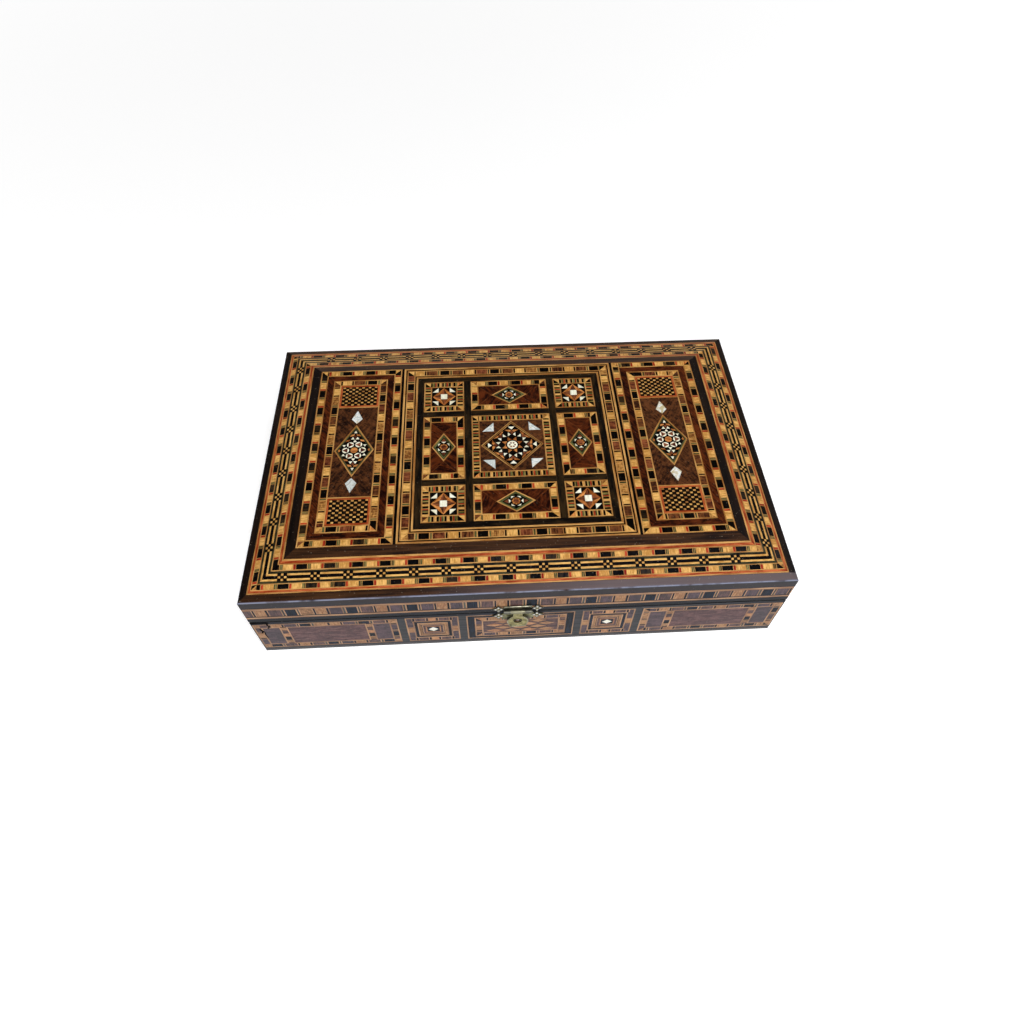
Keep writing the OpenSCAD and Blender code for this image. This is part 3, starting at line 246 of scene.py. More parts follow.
def stained_walnut(name, deep, pale, turn, worn, gloss):
    """Dark stained walnut under old wax: low contrast, long grain and a soft sheen. worn is the
    share of the lid's arris that is worn down to grey wood and painted pale blue-grey as a
    highlight, in patches of about 11 mm; with it the upright face below the arris is darkened as
    painted shade, and the front slope takes a patch of painted sheen. Without it, the wood has
    dirt with painted shade along the seam, and a foot that turns paler and greyer along the grain."""
    material, tree, _ = new_material(name)
    coords = object_coords(tree, turn)
    fibres, figure = grain_pattern(tree, coords, 30.0, 1.3, 0.1)
    factor = add(tree, "ShaderNodeMapRange", {"Value": figure, "From Min": 0.4, "From Max": 0.64})
    out = add(tree, "ShaderNodeMix", {
        "Factor": factor.outputs[0], "A": linear(deep), "B": linear(pale)},
        data_type="RGBA").outputs["Result"]
    if worn:
        patches = add(tree, "ShaderNodeTexNoise", {"Vector": coords, "Scale": 0.09 / MM, "Detail": 6.0})
        rubbed_and_highlit = add(tree, "ShaderNodeMapRange", {
            "Value": patches.outputs[0], "From Min": 0.26, "From Max": 0.5, "To Max": worn})
        # Painted shade: the upright face below the arris is darkened to blue-black.
        edge = zone(tree, 1.0, ("Z", 72.9, 72.2, 0.8))
        # Arris: patches worn to grey wood, painted pale blue-grey as a highlight as well.
        arris = zone(tree, rubbed_and_highlit.outputs[0], ("Z", 71.9, 72.4, 1.0), ("Z", 73.35, 72.9, 1.0))
        # Painted sheen: a pale patch on the outer edge of the front slope, stronger to the right.
        painted_sheen = zone(
            tree, 0.75, ("X", -70, 60, 1.0), ("Z", 75.6, 74.6, 1.0), ("Y", -117, -118, 1.0),
            ("Z", 73.1, 73.3, 1.0))
        wear_and_painted_light = ((edge, "#181a20"), (arris, "#8b90a6"), (painted_sheen, "#6c6062"))
    else:
        # Foot: towards the bottom the wood turns paler and greyer along the grain.
        foot = zone(tree, fibres, ("Z", 5.5, 1.5, 0.6))
        # Seam: grime with painted shade, darkening both sides of the joint.
        wear_and_painted_light = ((seam_grime_and_shade(tree, coords), "#030303"), (foot, "#8a8482"))
    for share, tone in wear_and_painted_light:
        out = add(tree, "ShaderNodeMix", {
            "Factor": share, "A": out, "B": linear(tone)}, data_type="RGBA").outputs["Result"]
    return finish_wood(material, out, fibres, 0.3, 0.06, gloss)


def dress(node, material):
    """Puts a material on a CAD node in place of the one it came with."""
    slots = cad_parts[node].material_slots
    for held in slots:
        held.material = material
    if not slots:
        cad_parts[node].data.materials.append(material)


# The boards that run along the front and back, then those across the ends.
# The walnut of the base and the lid's rails is blue-grey: a painted reflection of the pale floor over the
# dark stain.
base_wood = [stained_walnut(
    f"stained walnut, base, grain {way}", "#080a10", "#1e232c", way == "across", 0, 0.09)
    for way in ("along", "across")]
lid_wood = [
    stained_walnut("stained walnut, lid, grain along", "#190c04", "#4c2f16", False, 0.9, 0.14),
    # The slope boards at the ends are much darker: painted shade on the end slopes.
    stained_walnut("stained walnut, lid, grain across", "#080402", "#22140a", True, 0.9, 0.12)]
dress("base_bottom_board", base_wood[0])


def settle(piece, body, nodes):
    """Parents a finished piece to its body and hides the CAD nodes that it stands for."""
    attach(piece, body)
    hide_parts(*nodes)


def smooth_object(name, shape, materials, sharp_angle):
    """A bmesh as an object that is shaded smooth, except at edges past the angle in degrees."""
    mesh = bpy.data.meshes.new(name)
    shape.to_mesh(mesh)
    shape.free()
    for material in materials:
        mesh.materials.append(material)
    mesh.shade_smooth()
    mesh.set_sharp_from_angle(angle=math.radians(sharp_angle))
    return new_object(name, mesh)


def softened(name, node, body, slot, width, chosen, *materials):
    """A copy of a CAD piece with the sharp outer edges that chosen picks rounded off. The faces
    of the rounding take the last material."""
    shape = bmesh.new()
    shape.from_mesh(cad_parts[node].data)
    bmesh.ops.remove_doubles(shape, verts=shape.verts, dist=0.001 * MM)
    bmesh.ops.dissolve_limit(
        shape, angle_limit=math.radians(0.3), verts=shape.verts, edges=shape.edges)
    sharp = [e for e in shape.edges if e.is_manifold and e.is_convex
             and e.calc_face_angle() > math.radians(35) and chosen(e.verts[0].co / MM, e.verts[1].co / MM)]
    for face in shape.faces:
        face.material_index = 0
    bmesh.ops.bevel(
        shape, geom=sharp, offset=width * MM, segments=3, profile=0.5, affect="EDGES",
        clamp_overlap=True, material=len(materials) - 1)
    settle(smooth_object(name, shape, materials, 14), body, [node])


def round_the_box(a, b):
    """The long outer edges: beside the seam, round the foot, and the arris of the lid."""
    level = abs(a.z - b.z) < 0.01 and (
        abs(a.z - SEAM_Z) < 0.6 or a.z < 0.01 or abs(a.z - EDGE_Z) < 0.3)
    return level and (min(abs(a.x), abs(b.x)) > 189.9 or min(abs(a.y), abs(b.y)) > 123.15)


for side in ("front", "back", "left", "right"):
    for label, node, body, wood in (
            ("wall_of_base", f"base_{side}_board", "base", base_wood),
            ("rail_of_lid", f"lid_{side}_rail", "lid", base_wood),
            ("slope_of_lid", f"lid_{side}_slope", "lid", lid_wood)):
        softened(f"{side}_{label}", node, body, "walnut", 0.7, round_the_box,
                 wood[side in ("left", "right")])


# Inside of the lid: a panel of plywood and the raised core under the field. They show only as
# pale edges where a sheet is missing, and stay plain sanded beech.
beech, tree, _ = new_material("sanded beech plywood")
fibres, figure = grain_pattern(tree, object_coords(tree, False), 18.0, 0.8, 0.2)
colour = add(tree, "ShaderNodeMix", {
    "Factor": figure, "A": linear("#8a6238"), "B": linear("#c49a66")}, data_type="RGBA")
finish_wood(beech, colour.outputs["Result"], fibres, 0.55, 0.04)
dress("lid_plywood_panel", beech)
dress("lid_raised_core", beech)


# Lining: wine-red wool felt glued to the floor, the walls and the inside of the lid. Its
# surface is a mat of short fibres, with no shine and a nap that is patchy every 40 mm or so.
# The fibres are finer than shows, so they are drawn 0.7 mm apart.
felt, tree, shader = new_material("red wool felt")
place = add(tree, "ShaderNodeTexCoord").outputs["Object"]
fibre = add(tree, "ShaderNodeTexNoise", {
    "Vector": place, "Scale": 1.4 / MM, "Detail": 3.0, "Roughness": 0.7}).outputs[0]
nap = add(tree, "ShaderNodeTexNoise", {"Vector": place, "Scale": 0.024 / MM, "Detail": 4.0})
depth = add(tree, "ShaderNodeMix", {"Factor": 0.12, "A": fibre, "B": nap.outputs[0]})
factor = add(tree, "ShaderNodeMapRange", {"Value": depth.outputs[0], "From Min": 0.25, "From Max": 0.75})
colour = add(tree, "ShaderNodeMix", {
    "Factor": factor.outputs[0], "A": linear("#4a0f16"), "B": linear("#8c2530")}, data_type="RGBA")
bump = add(tree, "ShaderNodeBump", {"Strength": 0.6, "Distance": 0.15 * MM, "Height": fibre})
fill(tree, shader, {
    "Base Color": colour.outputs["Result"], "Normal": bump.outputs[0], "Roughness": 0.95,
    "Sheen Weight": 0.25})
for node in ("base_floor_lining", "base_wall_lining", "lid_lining"):
    dress(node, felt)


# Woods of the marquetry: thin slices of boxwood, lemonwood, walnut, mahogany, padauk, dyed
# and blackened wood, bone and shell, glued in a sheet, scraped level and varnished.
def own_attributes(tree):
    """The place in a slice's own coordinates, which run along its grain, and its own shade."""
    return (add(tree, "ShaderNodeAttribute", attribute_name="lay").outputs["Vector"],
            add(tree, "ShaderNodeAttribute", attribute_name="shade").outputs["Fac"])


def slice_material(name, deep, pale, length, width, ripple, spread, gloss):
    """A wood's two tones, its grain's length and width in mm, its share of cross ripples, how
    far slices differ, and its gloss."""
    material, tree, _ = new_material(name)
    lay, shade = own_attributes(tree)
    fibres, figure = grain_pattern(tree, lay, length, width, ripple)
    drawn = add(tree, "ShaderNodeMapRange", {
        "Value": figure, "From Min": 0.4, "From Max": 0.62, "To Min": -spread, "To Max": 1.0})
    factor = add(tree, "ShaderNodeMath", {
        0: shade, 1: spread, 2: drawn.outputs[0]}, operation="MULTIPLY_ADD", use_clamp=True)
    colour = add(tree, "ShaderNodeMix", {
        "Factor": factor.outputs[0], "A": linear(deep), "B": linear(pale)}, data_type="RGBA")
    return finish_wood(material, colour.outputs["Result"], fibres, 0.26, 0.04, gloss)


def palette(tag, faded_with_painted_reflection, gloss):
    """The woods of one part of the box. On the walls the tones are greyer and bluer: partly the
    wood's loss of colour with age, partly a painted reflection of the pale floor; and their old wax is dull.
    """
    woods = {
        # pale yellow, close and even
        "boxwood": ("#9c6732", "#d29f5c", 14.0, 0.9, 0.1, 0.5, "#8e6646", "#c49870"),
        "lemonwood": ("#b8823e", "#eab86a", 5.0, 0.7, 0.3, 0.5, "#8a5d3a", "#b88a5e"),
        # black, with hardly any figure
        "ebony": ("#010000", "#0e0a06", 8.0, 0.8, 0.1, 0.3, "#030810", "#122032"),
        # three browns with dark pores, the last one rippled and light
        "darkwalnut": ("#0a0603", "#30220f", 12.0, 1.2, 0.1, 0.5, "#1d1719", "#3c3032"),
        "walnut": ("#2e1508", "#7a4826", 6.0, 1.1, 0.4, 0.6, "#382423", "#644642"),
        "nutwood": ("#6c3e1a", "#c8924e", 5.0, 1.1, 0.6, 0.5, "#74502f", "#b08258"),
        # deep red brown, with a silky ribbon figure
        "mahogany": ("#180300", "#5e2a0e", 6.0, 1.1, 0.3, 0.5, "#46292a", "#7a5450"),
        "rosewood": ("#40190a", "#8e5030", 6.0, 1.1, 0.4, 0.5, "#33262c", "#574248"),
        # orange to red, the last two stained
        "padauk": ("#8a4818", "#de9450", 6.0, 1.0, 0.3, 0.5, "#8c5836", "#c89060"),
        "redwood": ("#86300f", "#c66838", 9.0, 0.9, 0.2, 0.4, "#683428", "#96604c"),
        "crimson": ("#7c180a", "#c04a2a", 9.0, 0.9, 0.2, 0.4, "#60282a", "#8e4c42"),
        # dyed through, from blackish green to olive
        "mosswood": ("#100f07", "#3c3920", 9.0, 0.9, 0.2, 0.5, "#16170f", "#33352c"),
        "greenwood": ("#242a14", "#686c3e", 9.0, 0.9, 0.2, 0.5, "#24241f", "#4e4e46"),
        "olivewood": ("#6c5c26", "#bba35e", 9.0, 0.9, 0.2, 0.5, "#786042", "#a88c68"),
        # walnut root with a curly, clouded figure
        "burl": ("#1a0a04", "#663c20", 5.0, 1.6, 0.6, 0.3, "#1a0a04", "#663c20"),
        # creamy white, the brightest of all
        "bone": ("#e4dfc2", "#fbfbea", 5.0, 0.8, 0.2, 0.4, "#fbf6e0", "#fffdf4"),
    }
    made = {}
    for key, (deep, pale, length, width, ripple, spread, wall_deep, wall_pale) in woods.items():
        # Wall tones: loss of colour with age, plus a painted reflection of the pale floor.
        tones = (wall_deep, wall_pale) if faded_with_painted_reflection else (deep, pale)
        shine = gloss * (0.4 if key == "ebony" else 1.0)
        made[key] = slice_material(
            f"scraped {key}, {tag}", *tones, length, width, ripple, spread, shine)
    made["pearl"] = shell_material(tag)
    return made


def shell_material(tag):
    """Mother of pearl: pale grey and glossy, with clouds of green, straw and white in its growth
    layers, about 7 mm across."""
    material, tree, shader = new_material(f"polished mother of pearl, {tag}")
    lay, shade = own_attributes(tree)
    cloud = add(tree, "ShaderNodeTexNoise", {
        "Vector": lay, "Scale": 0.15 / MM, "Detail": 3.0, "Distortion": 2.0})
    tone = add(tree, "ShaderNodeMix", {"Factor": 0.3, "A": cloud.outputs[0], "B": shade})
    ramp = add(tree, "ShaderNodeValToRGB", {0: tone.outputs[0]})
    stops = ramp.color_ramp.elements
    stops.remove(stops[1])
    stops[0].position, stops[0].color = 0.28, linear("#a09e98")
    for position, tone in ((0.4, "#d6dcd9"), (0.5, "#bcc5c2"), (0.58, "#eef1f0"), (0.7, "#c8bb94")):
        stops.new(position).color = linear(tone)
    fill(tree, shader, {"Base Color": ramp.outputs[0], "Roughness": 0.22, "IOR": 1.55})
    return material


def inset(outline, gap):
    """The outline, counter-clockwise, moved in by half a glue line."""
    area = sum(a[0] * b[1] - b[0] * a[1] for a, b in zip(outline, outline[1:] + outline[:1]))
    points = [Vector(p) for p in (outline if area > 0 else outline[::-1])]
    moved = []
    for k, here in enumerate(points):
        back = (here - points[k - 1]).normalized()
        ahead = (points[(k + 1) % len(points)] - here).normalized()
        side_a, side_b = Vector((-back.y, back.x)), Vector((-ahead.y, ahead.x))
        moved.append(here + (side_a + side_b) * gap / max(0.2, 1 + side_a.dot(side_b)))
    return moved


# In millimetres: how thick the sheets are, half a glue line, and how far a slice lies below
# the face: every slice, each by its own chance, and for each layer that is let into it.
SHEET_T, SLOPE_SHEET_T, GLUE = 1.6, 1.2, 0.03
LEVEL, UNEVEN, STEP = 0.02, 0.025, 0.03


class Sheet:
    """Slices laid side by side in one face of the box, drawn in millimetres on that face."""

    def __init__(self, origin, along, up, seed, thick=SHEET_T):
        self.origin, self.along, self.up = Vector(origin), Vector(along), Vector(up)
        self.thick = thick
        self.out = self.along.cross(self.up)
        self.dice = random.Random(seed)
        self.tiles = {}
        self.blocks = []

    def at(self, s, t, depth):
        """The place in the scene, in metres, of a point of the sheet at a depth under its face."""
        return (self.origin + self.along * s + self.up * t - self.out * depth) * MM

    def tile(self, wood, outline, grain=0.0, under=0):
        """One slice. grain is the angle of its fibres in degrees, and under is the number of
        layers that are let into it, each of which lies a hair higher. Below 0 it stands proud."""
        self.tiles.setdefault(wood, []).append((outline, math.radians(grain), under))

    def strip(self, wood, s0, s1, t0, t1, grain=None, under=0):
        """A rectangular slice, with its grain along its longer side unless it is given."""
        if grain is None:
            grain = 0 if s1 - s0 > t1 - t0 else 90
        self.tile(wood, [(s0, t0), (s1, t0), (s1, t1), (s0, t1)], grain, under)

    def band(self, wood, s0, s1, t0, t1, width, grains=(0, 90, 0, 90)):
        """Four mitred strips round the inside of a rectangle."""
        outer = [(s0, t0), (s1, t0), (s1, t1), (s0, t1)]
        inner = [(s0 + width, t0 + width), (s1 - width, t0 + width),
                 (s1 - width, t1 - width), (s0 + width, t1 - width)]
        for k in range(4):
            after = (k + 1) % 4
            self.tile(wood, [outer[k], outer[after], inner[after], inner[k]], grains[k])

    def row(self, start, end, width, pattern, first=None):
        """A row of blocks from start to end along its middle. A block is a wood, or several to
        choose from, and a length. first is how far from the start the pattern begins. What
        doesn't fit at an end is cut off there."""
        start, end = Vector(start), Vector(end)
        reach = (end - start).length
        way = (end - start).normalized()
        turn = math.atan2(way.y, way.x)
        period = sum(length for _, length in pattern)
        if first is None:
            first = self.dice.uniform(0, period)
        place = first % period - period
        k = 0
        while place < reach:
            woods, length = pattern[k % len(pattern)]
            low, high = max(place, 0.0), min(place + length, reach)
            if high - low > 0.25:
                middle = start + way * (low + high) / 2
                wood = woods if isinstance(woods, str) else self.dice.choice(woods)
                self.blocks.append((middle.x, middle.y, high - low, width, turn, wood))
            place += length
            k += 1

    def fillet(self, s0, s1, t0, t1, width, pattern, firsts=(None,) * 4):
        """Rows of blocks round the inside of a rectangle, with a split square in each corner.
        firsts tells where the pattern begins in the lower, right, upper and left rows."""
        half = width / 2
        rows = (
            ((s0 + width, t0 + half), (s1 - width, t0 + half)),
            ((s1 - half, t0 + width), (s1 - half, t1 - width)),
            ((s1 - width, t1 - half), (s0 + width, t1 - half)),
            ((s0 + half, t1 - width), (s0 + half, t0 + width)))
        for (start, end), first in zip(rows, firsts):
            self.row(start, end, width, pattern, first)
        for s, side in ((s0, 1), (s1, -1)):
            for t, rise in ((t0, 1), (t1, -1)):
                pair = self.dice.choice((
                    ("lemonwood", "ebony"), ("ebony", "lemonwood"), ("nutwood", "lemonwood"),
                    ("lemonwood", "walnut"), ("padauk", "ebony")))
                inner, outer = (s + side * width, t + rise * width), (s, t)
                self.tile(pair[0], [outer, (s + side * width, t), inner], 90)
                self.tile(pair[1], [outer, (s, t + rise * width), inner], 0)


def slices(name, wood, sheets, material):
    """One closed prism for each slice of a wood, with the attributes that its material reads."""
    verts, faces, lays, shades = [], [], [], []
    for sheet in sheets:
        for outline, grain, under in sheet.tiles.get(wood, ()):
            points = inset(outline, GLUE)
            drop = LEVEL + UNEVEN * sheet.dice.random() + STEP * under
            shade = sheet.dice.random()
            toss = Vector([sheet.dice.random() for _ in range(3)])
            count, first = len(points), len(verts)
            for depth in (drop, sheet.thick):
                for p in points:
                    verts.append(sheet.at(p.x, p.y, depth))
                    along = p.x * math.cos(grain) + p.y * math.sin(grain)
                    across = p.y * math.cos(grain) - p.x * math.sin(grain)
                    lays.extend(Vector((along, across, depth)) * MM + toss)
                    shades.append(shade)
            top = list(range(first, first + count))
            low = [k + count for k in top]
            faces.append(top)
            faces.append(low[::-1])
            for k in range(count):
                after = (k + 1) % count
                faces.append([low[k], low[after], top[after], top[k]])
    mesh = bpy.data.meshes.new(name)
    mesh.from_pydata(verts, [], faces)
    mesh.attributes.new("lay", "FLOAT_VECTOR", "POINT").data.foreach_set("vector", lays)
    mesh.attributes.new("shade", "FLOAT", "POINT").data.foreach_set("value", shades)
    mesh.materials.append(material)
    return new_object(name, mesh)


# The woods in the order in which they are laid, each with the material slot that it belongs to.
SLOT_OF = {
    "boxwood": "light_boxwood", "lemonwood": "light_boxwood", "ebony": "ebony",
    "darkwalnut": "walnut", "walnut": "walnut", "nutwood": "walnut", "mahogany": "mahogany",
    "rosewood": "padauk", "padauk": "padauk", "redwood": "padauk", "crimson": "padauk",
    "mosswood": "green_dyed_wood", "greenwood": "green_dyed_wood",
    "olivewood": "green_dyed_wood", "burl": "walnut_burl", "bone": "bone",
    "pearl": "mother_of_pearl"}
WOOD_ORDER = tuple(SLOT_OF)

# The tree that lays a block on every point of a row: a cube of the block's size, turned along
# the row, with its own shade and a top that stands a hair lower than its neighbour's.
tree = block_tree = bpy.data.node_groups.new("laid blocks", "GeometryNodeTree")
INPUTS = (
    ("Rows", "NodeSocketGeometry"), ("Sheet thickness", "NodeSocketFloat"),
    ("Glue line", "NodeSocketFloat"), ("Unevenness", "NodeSocketFloat"), ("Seed", "NodeSocketInt"),
) + tuple((wood, "NodeSocketMaterial") for wood in WOOD_ORDER)
for label, kind in INPUTS:
    tree.interface.new_socket(label, in_out="INPUT", socket_type=kind)
tree.interface.new_socket("Blocks", in_out="OUTPUT", socket_type="NodeSocketGeometry")
entry = add(tree, "NodeGroupInput").outputs
stored = {
    label: add(tree, "GeometryNodeInputNamedAttribute", {"Name": label}, data_type=kind).outputs[0]
    for label, kind in (
        ("size", "FLOAT_VECTOR"), ("turn", "FLOAT_VECTOR"), ("wood", "INT"),
        ("unit", "FLOAT_VECTOR"), ("toss", "FLOAT_VECTOR"))}
cube = add(tree, "GeometryNodeMeshCube", {"Size": (1, 1, 1)})
raised = add(tree, "GeometryNodeTransform", {
    "Geometry": cube.outputs["Mesh"], "Translation": (0, 0, 0.5)})
unit = add(tree, "GeometryNodeStoreNamedAttribute", {
    "Geometry": raised.outputs[0], "Name": "unit",
    "Value": add(tree, "GeometryNodeInputPosition").outputs[0]},
    data_type="FLOAT_VECTOR", domain="POINT")
lower = add(tree, "FunctionNodeRandomValue", {
    "Min": 0.0, "Max": entry["Unevenness"], "Seed": entry["Seed"]}, data_type="FLOAT")
sides = add(tree, "ShaderNodeSeparateXYZ", {0: stored["size"]}).outputs
length, width, rise = (
    add(tree, "ShaderNodeMath", {0: whole, 1: less}, operation="SUBTRACT").outputs[0]
    for whole, less in (
        (sides[0], entry["Glue line"]), (sides[1], entry["Glue line"]),
        (entry["Sheet thickness"], lower.outputs["Value"])))
scale = add(tree, "ShaderNodeCombineXYZ", {0: length, 1: width, 2: rise})
laid = add(tree, "GeometryNodeInstanceOnPoints", {
    "Points": entry["Rows"], "Instance": unit.outputs[0],
    "Rotation": stored["turn"], "Scale": scale.outputs[0]}).outputs[0]
for label, kind, low, high in (
        ("shade", "FLOAT", 0.0, 1.0), ("toss", "FLOAT_VECTOR", (0, 0, 0), (1, 1, 1))):
    chance = add(tree, "FunctionNodeRandomValue", {
        "Min": low, "Max": high, "Seed": entry["Seed"]}, data_type=kind)
    laid = add(tree, "GeometryNodeStoreNamedAttribute", {
        "Geometry": laid, "Name": label, "Value": chance.outputs["Value"]},
        data_type=kind, domain="INSTANCE").outputs[0]
laid = add(tree, "GeometryNodeRealizeInstances", {"Geometry": laid}).outputs[0]
own = add(tree, "ShaderNodeVectorMath", {0: stored["unit"], 1: stored["size"]}, operation="MULTIPLY")
split = add(tree, "ShaderNodeSeparateXYZ", {0: own.outputs[0]}).outputs
across = add(tree, "ShaderNodeCombineXYZ", {0: split[1], 1: split[0], 2: split[2]})
moved = add(tree, "ShaderNodeVectorMath", {0: across.outputs[0], 1: stored["toss"]}, operation="ADD")
laid = add(tree, "GeometryNodeStoreNamedAttribute", {
    "Geometry": laid, "Name": "lay", "Value": moved.outputs[0]},
    data_type="FLOAT_VECTOR", domain="POINT").outputs[0]
for k, wood in enumerate(WOOD_ORDER):
    match = add(tree, "FunctionNodeCompare", {
        2: stored["wood"], 3: k}, data_type="INT", operation="EQUAL")
    laid = add(tree, "GeometryNodeSetMaterial", {
        "Geometry": laid, "Selection": match.outputs[0], "Material": entry[wood]}).outputs[0]
add(tree, "NodeGroupOutput", {0: laid})


def laid_blocks(name, sheets, woods, seed):
    """The rows of several sheets as one plain mesh, made by the tree above."""
    rows = [(sheet, block) for sheet in sheets for block in sheet.blocks]
    thick = sheets[0].thick
    mesh = bpy.data.meshes.new(name)
    mesh.from_pydata([sheet.at(b[0], b[1], thick) for sheet, b in rows], [], [])
    sizes, turns, kinds = [], [], []
    for sheet, (_, _, run, across, angle, wood) in rows:
        sizes.extend((run * MM, across * MM, thick * MM))
        way = sheet.along * math.cos(angle) + sheet.up * math.sin(angle)
        axes = Matrix((way, sheet.out.cross(way), sheet.out)).transposed()
        turns.extend(axes.to_euler())
        kinds.append(WOOD_ORDER.index(wood))
    mesh.attributes.new("size", "FLOAT_VECTOR", "POINT").data.foreach_set("vector", sizes)
    mesh.attributes.new("turn", "FLOAT_VECTOR", "POINT").data.foreach_set("vector", turns)
    mesh.attributes.new("wood", "INT", "POINT").data.foreach_set("value", kinds)
    carrier = new_object(name + " rows", mesh)
    modifier = carrier.modifiers.new("laid blocks", "NODES")
    modifier.node_group = block_tree
    values = {
        "Sheet thickness": (thick - LEVEL) * MM, "Glue line": 2 * GLUE * MM,
        "Unevenness": UNEVEN * MM, "Seed": seed}
    values.update(woods)
    for item in block_tree.interface.items_tree:
        if item.in_out == "INPUT" and item.name in values:
            modifier[item.identifier] = values[item.name]
    bpy.context.view_layer.update()
    ready = carrier.evaluated_get(bpy.context.evaluated_depsgraph_get())
    solid = bpy.data.meshes.new_from_object(ready)
    solid.name = name
    bpy.data.objects.remove(carrier)
    return new_object(name, solid)


def glue_down(name, sheets, woods, body, nodes, seed):
    """Makes the pieces of these sheets, one for the rows of blocks and one for each wood."""
    if any(sheet.blocks for sheet in sheets):
        settle(laid_blocks(f"{name}_block_rows", sheets, woods, seed), body, nodes)
    for wood in WOOD_ORDER:
        if any(wood in sheet.tiles for sheet in sheets):
            settle(slices(f"{name}_{wood}", wood, sheets, woods[wood]), body, nodes)


# Rows of blocks: the three mixtures that the box's fillets are cut from. Each is glued up from
# boards of several woods and sawn into strips, so the same blocks come round again and again.
BROWN = ("walnut", "rosewood", "walnut", "rosewood", "nutwood")
WALNUT_ROW = (
    ("lemonwood", 7.2), ("ebony", 1.4), ("boxwood", 0.7), (BROWN, 8.4), ("boxwood", 0.7),
    ("greenwood", 1.3), ("boxwood", 0.9), ("ebony", 7.4), ("boxwood", 0.8), ("greenwood", 1.1),
    ("boxwood", 0.7), (BROWN, 8.4), ("boxwood", 0.6), ("ebony", 1.2), ("boxwood", 0.5))
BLACK_ROW = (
    ("lemonwood", 6.9), ("crimson", 1.6), ("boxwood", 0.4), (("ebony", "ebony", "darkwalnut"), 7.4),
    ("boxwood", 0.4), ("greenwood", 0.8), ("boxwood", 0.3), ("greenwood", 0.8), ("boxwood", 0.3))
FINE_ROW = (
    ("lemonwood", 1.3), ("ebony", 1.7), ("olivewood", 0.6), ("crimson", 1.2), ("greenwood", 1.2),
    ("olivewood", 0.9), ("ebony", 1.6), ("boxwood", 0.8))

# Base marquetry: three kinds of panels sunk into the walls. Long panels hold three fields
# between fillets, square ones a stepped frame round a bone diamond, and the middle of the
# front and back has rows of flame lozenges or a plain field.
BOX_W, BOX_D = 380.0, 246.5
PANEL_LOW, PANEL_HIGH = 5.0, 41.5
FILLET, LINE = 6.0, 1.0
SIDE_FIELD, SQUARE_HALF, MIDDLE_HALF = 11.5, 19.0, 39.0
POST_ROW = (
    ("nutwood", 4.0), ("boxwood", 0.5), ("ebony", 5.4), ("boxwood", 0.5), ("padauk", 4.2), ("walnut", 5.2))
SIDE_ROW = (("rosewood", 9.0), ("boxwood", 0.6), ("lemonwood", 6.9), ("boxwood", 0.6), ("rosewood", 9.0))
HALF_ROW = (
    ("rosewood", 3.6), ("boxwood", 0.5), ("ebony", 1.5), ("boxwood", 0.7), ("walnut", 7.0), ("boxwood", 0.7),
    ("ebony", 1.4))
SQUARE_ROW = HALF_ROW + (("padauk", 5.6),) + HALF_ROW[::-1]


def long_panel(sheet, s0, s1, firsts):
    """A fillet round three fields, a wide one between two narrow ones, with posts of blocks."""
    sheet.band("boxwood", s0, s1, PANEL_LOW, PANEL_HIGH, LINE)
    low, high = PANEL_LOW + FILLET, PANEL_HIGH - FILLET
    cuts = (s0 + FILLET, s0 + FILLET + SIDE_FIELD, s0 + 2 * FILLET + SIDE_FIELD,
            s1 - 2 * FILLET - SIDE_FIELD, s1 - FILLET - SIDE_FIELD, s1 - FILLET)
    for a, b in zip(cuts[::2], cuts[1::2]):
        wide = b - a > SIDE_FIELD + 0.5
        sheet.strip("mahogany" if wide else "rosewood", a, b, low, high, 0)
        sheet.band("boxwood", a - LINE, b + LINE, low - LINE, high + LINE, LINE)
    width = FILLET - 2 * LINE
    sheet.fillet(s0 + LINE, s1 - LINE, PANEL_LOW + LINE, PANEL_HIGH - LINE, width, WALNUT_ROW, firsts)
    for middle in ((cuts[1] + cuts[2]) / 2, (cuts[3] + cuts[4]) / 2):
        sheet.row((middle, low - LINE), (middle, high + LINE), width, POST_ROW, 1.5)


def square_panel(sheet, middle):
    """Four rows of blocks round eight nested frames, each its own wood, and a bone diamond."""
    s0, s1 = middle - SQUARE_HALF, middle + SQUARE_HALF
    sheet.band("boxwood", s0, s1, PANEL_LOW, PANEL_HIGH, LINE)
    width = FILLET - 2 * LINE
    for t in (PANEL_LOW + FILLET / 2, PANEL_HIGH - FILLET / 2):
        sheet.row((s0 + LINE, t), (s1 - LINE, t), width, SQUARE_ROW, 0)
    low, high = PANEL_LOW + FILLET, PANEL_HIGH - FILLET
    for s in (s0 + FILLET / 2, s1 - FILLET / 2):
        sheet.row((s, low - LINE), (s, high + LINE), width, SIDE_ROW, 0)
    left, right = s0 + FILLET, s1 - FILLET
    inner = -LINE
    for wood, ring in (
            ("boxwood", LINE), ("ebony", 2.1), ("boxwood", 0.9), ("nutwood", 1.9), ("ebony", 0.4),
            ("boxwood", 0.6), ("walnut", 1.6), ("padauk", 1.0)):
        sheet.band(wood, left + inner, right - inner, low + inner, high - inner, ring)
        inner += ring
    sheet.strip("ebony", left + inner, right - inner, low + inner, high - inner, under=1)
    centre = (PANEL_LOW + PANEL_HIGH) / 2
    sheet.tile("bone", [
        (middle - 3.6, centre), (middle, centre - 3.1), (middle + 3.6, centre), (middle, centre + 3.1)])


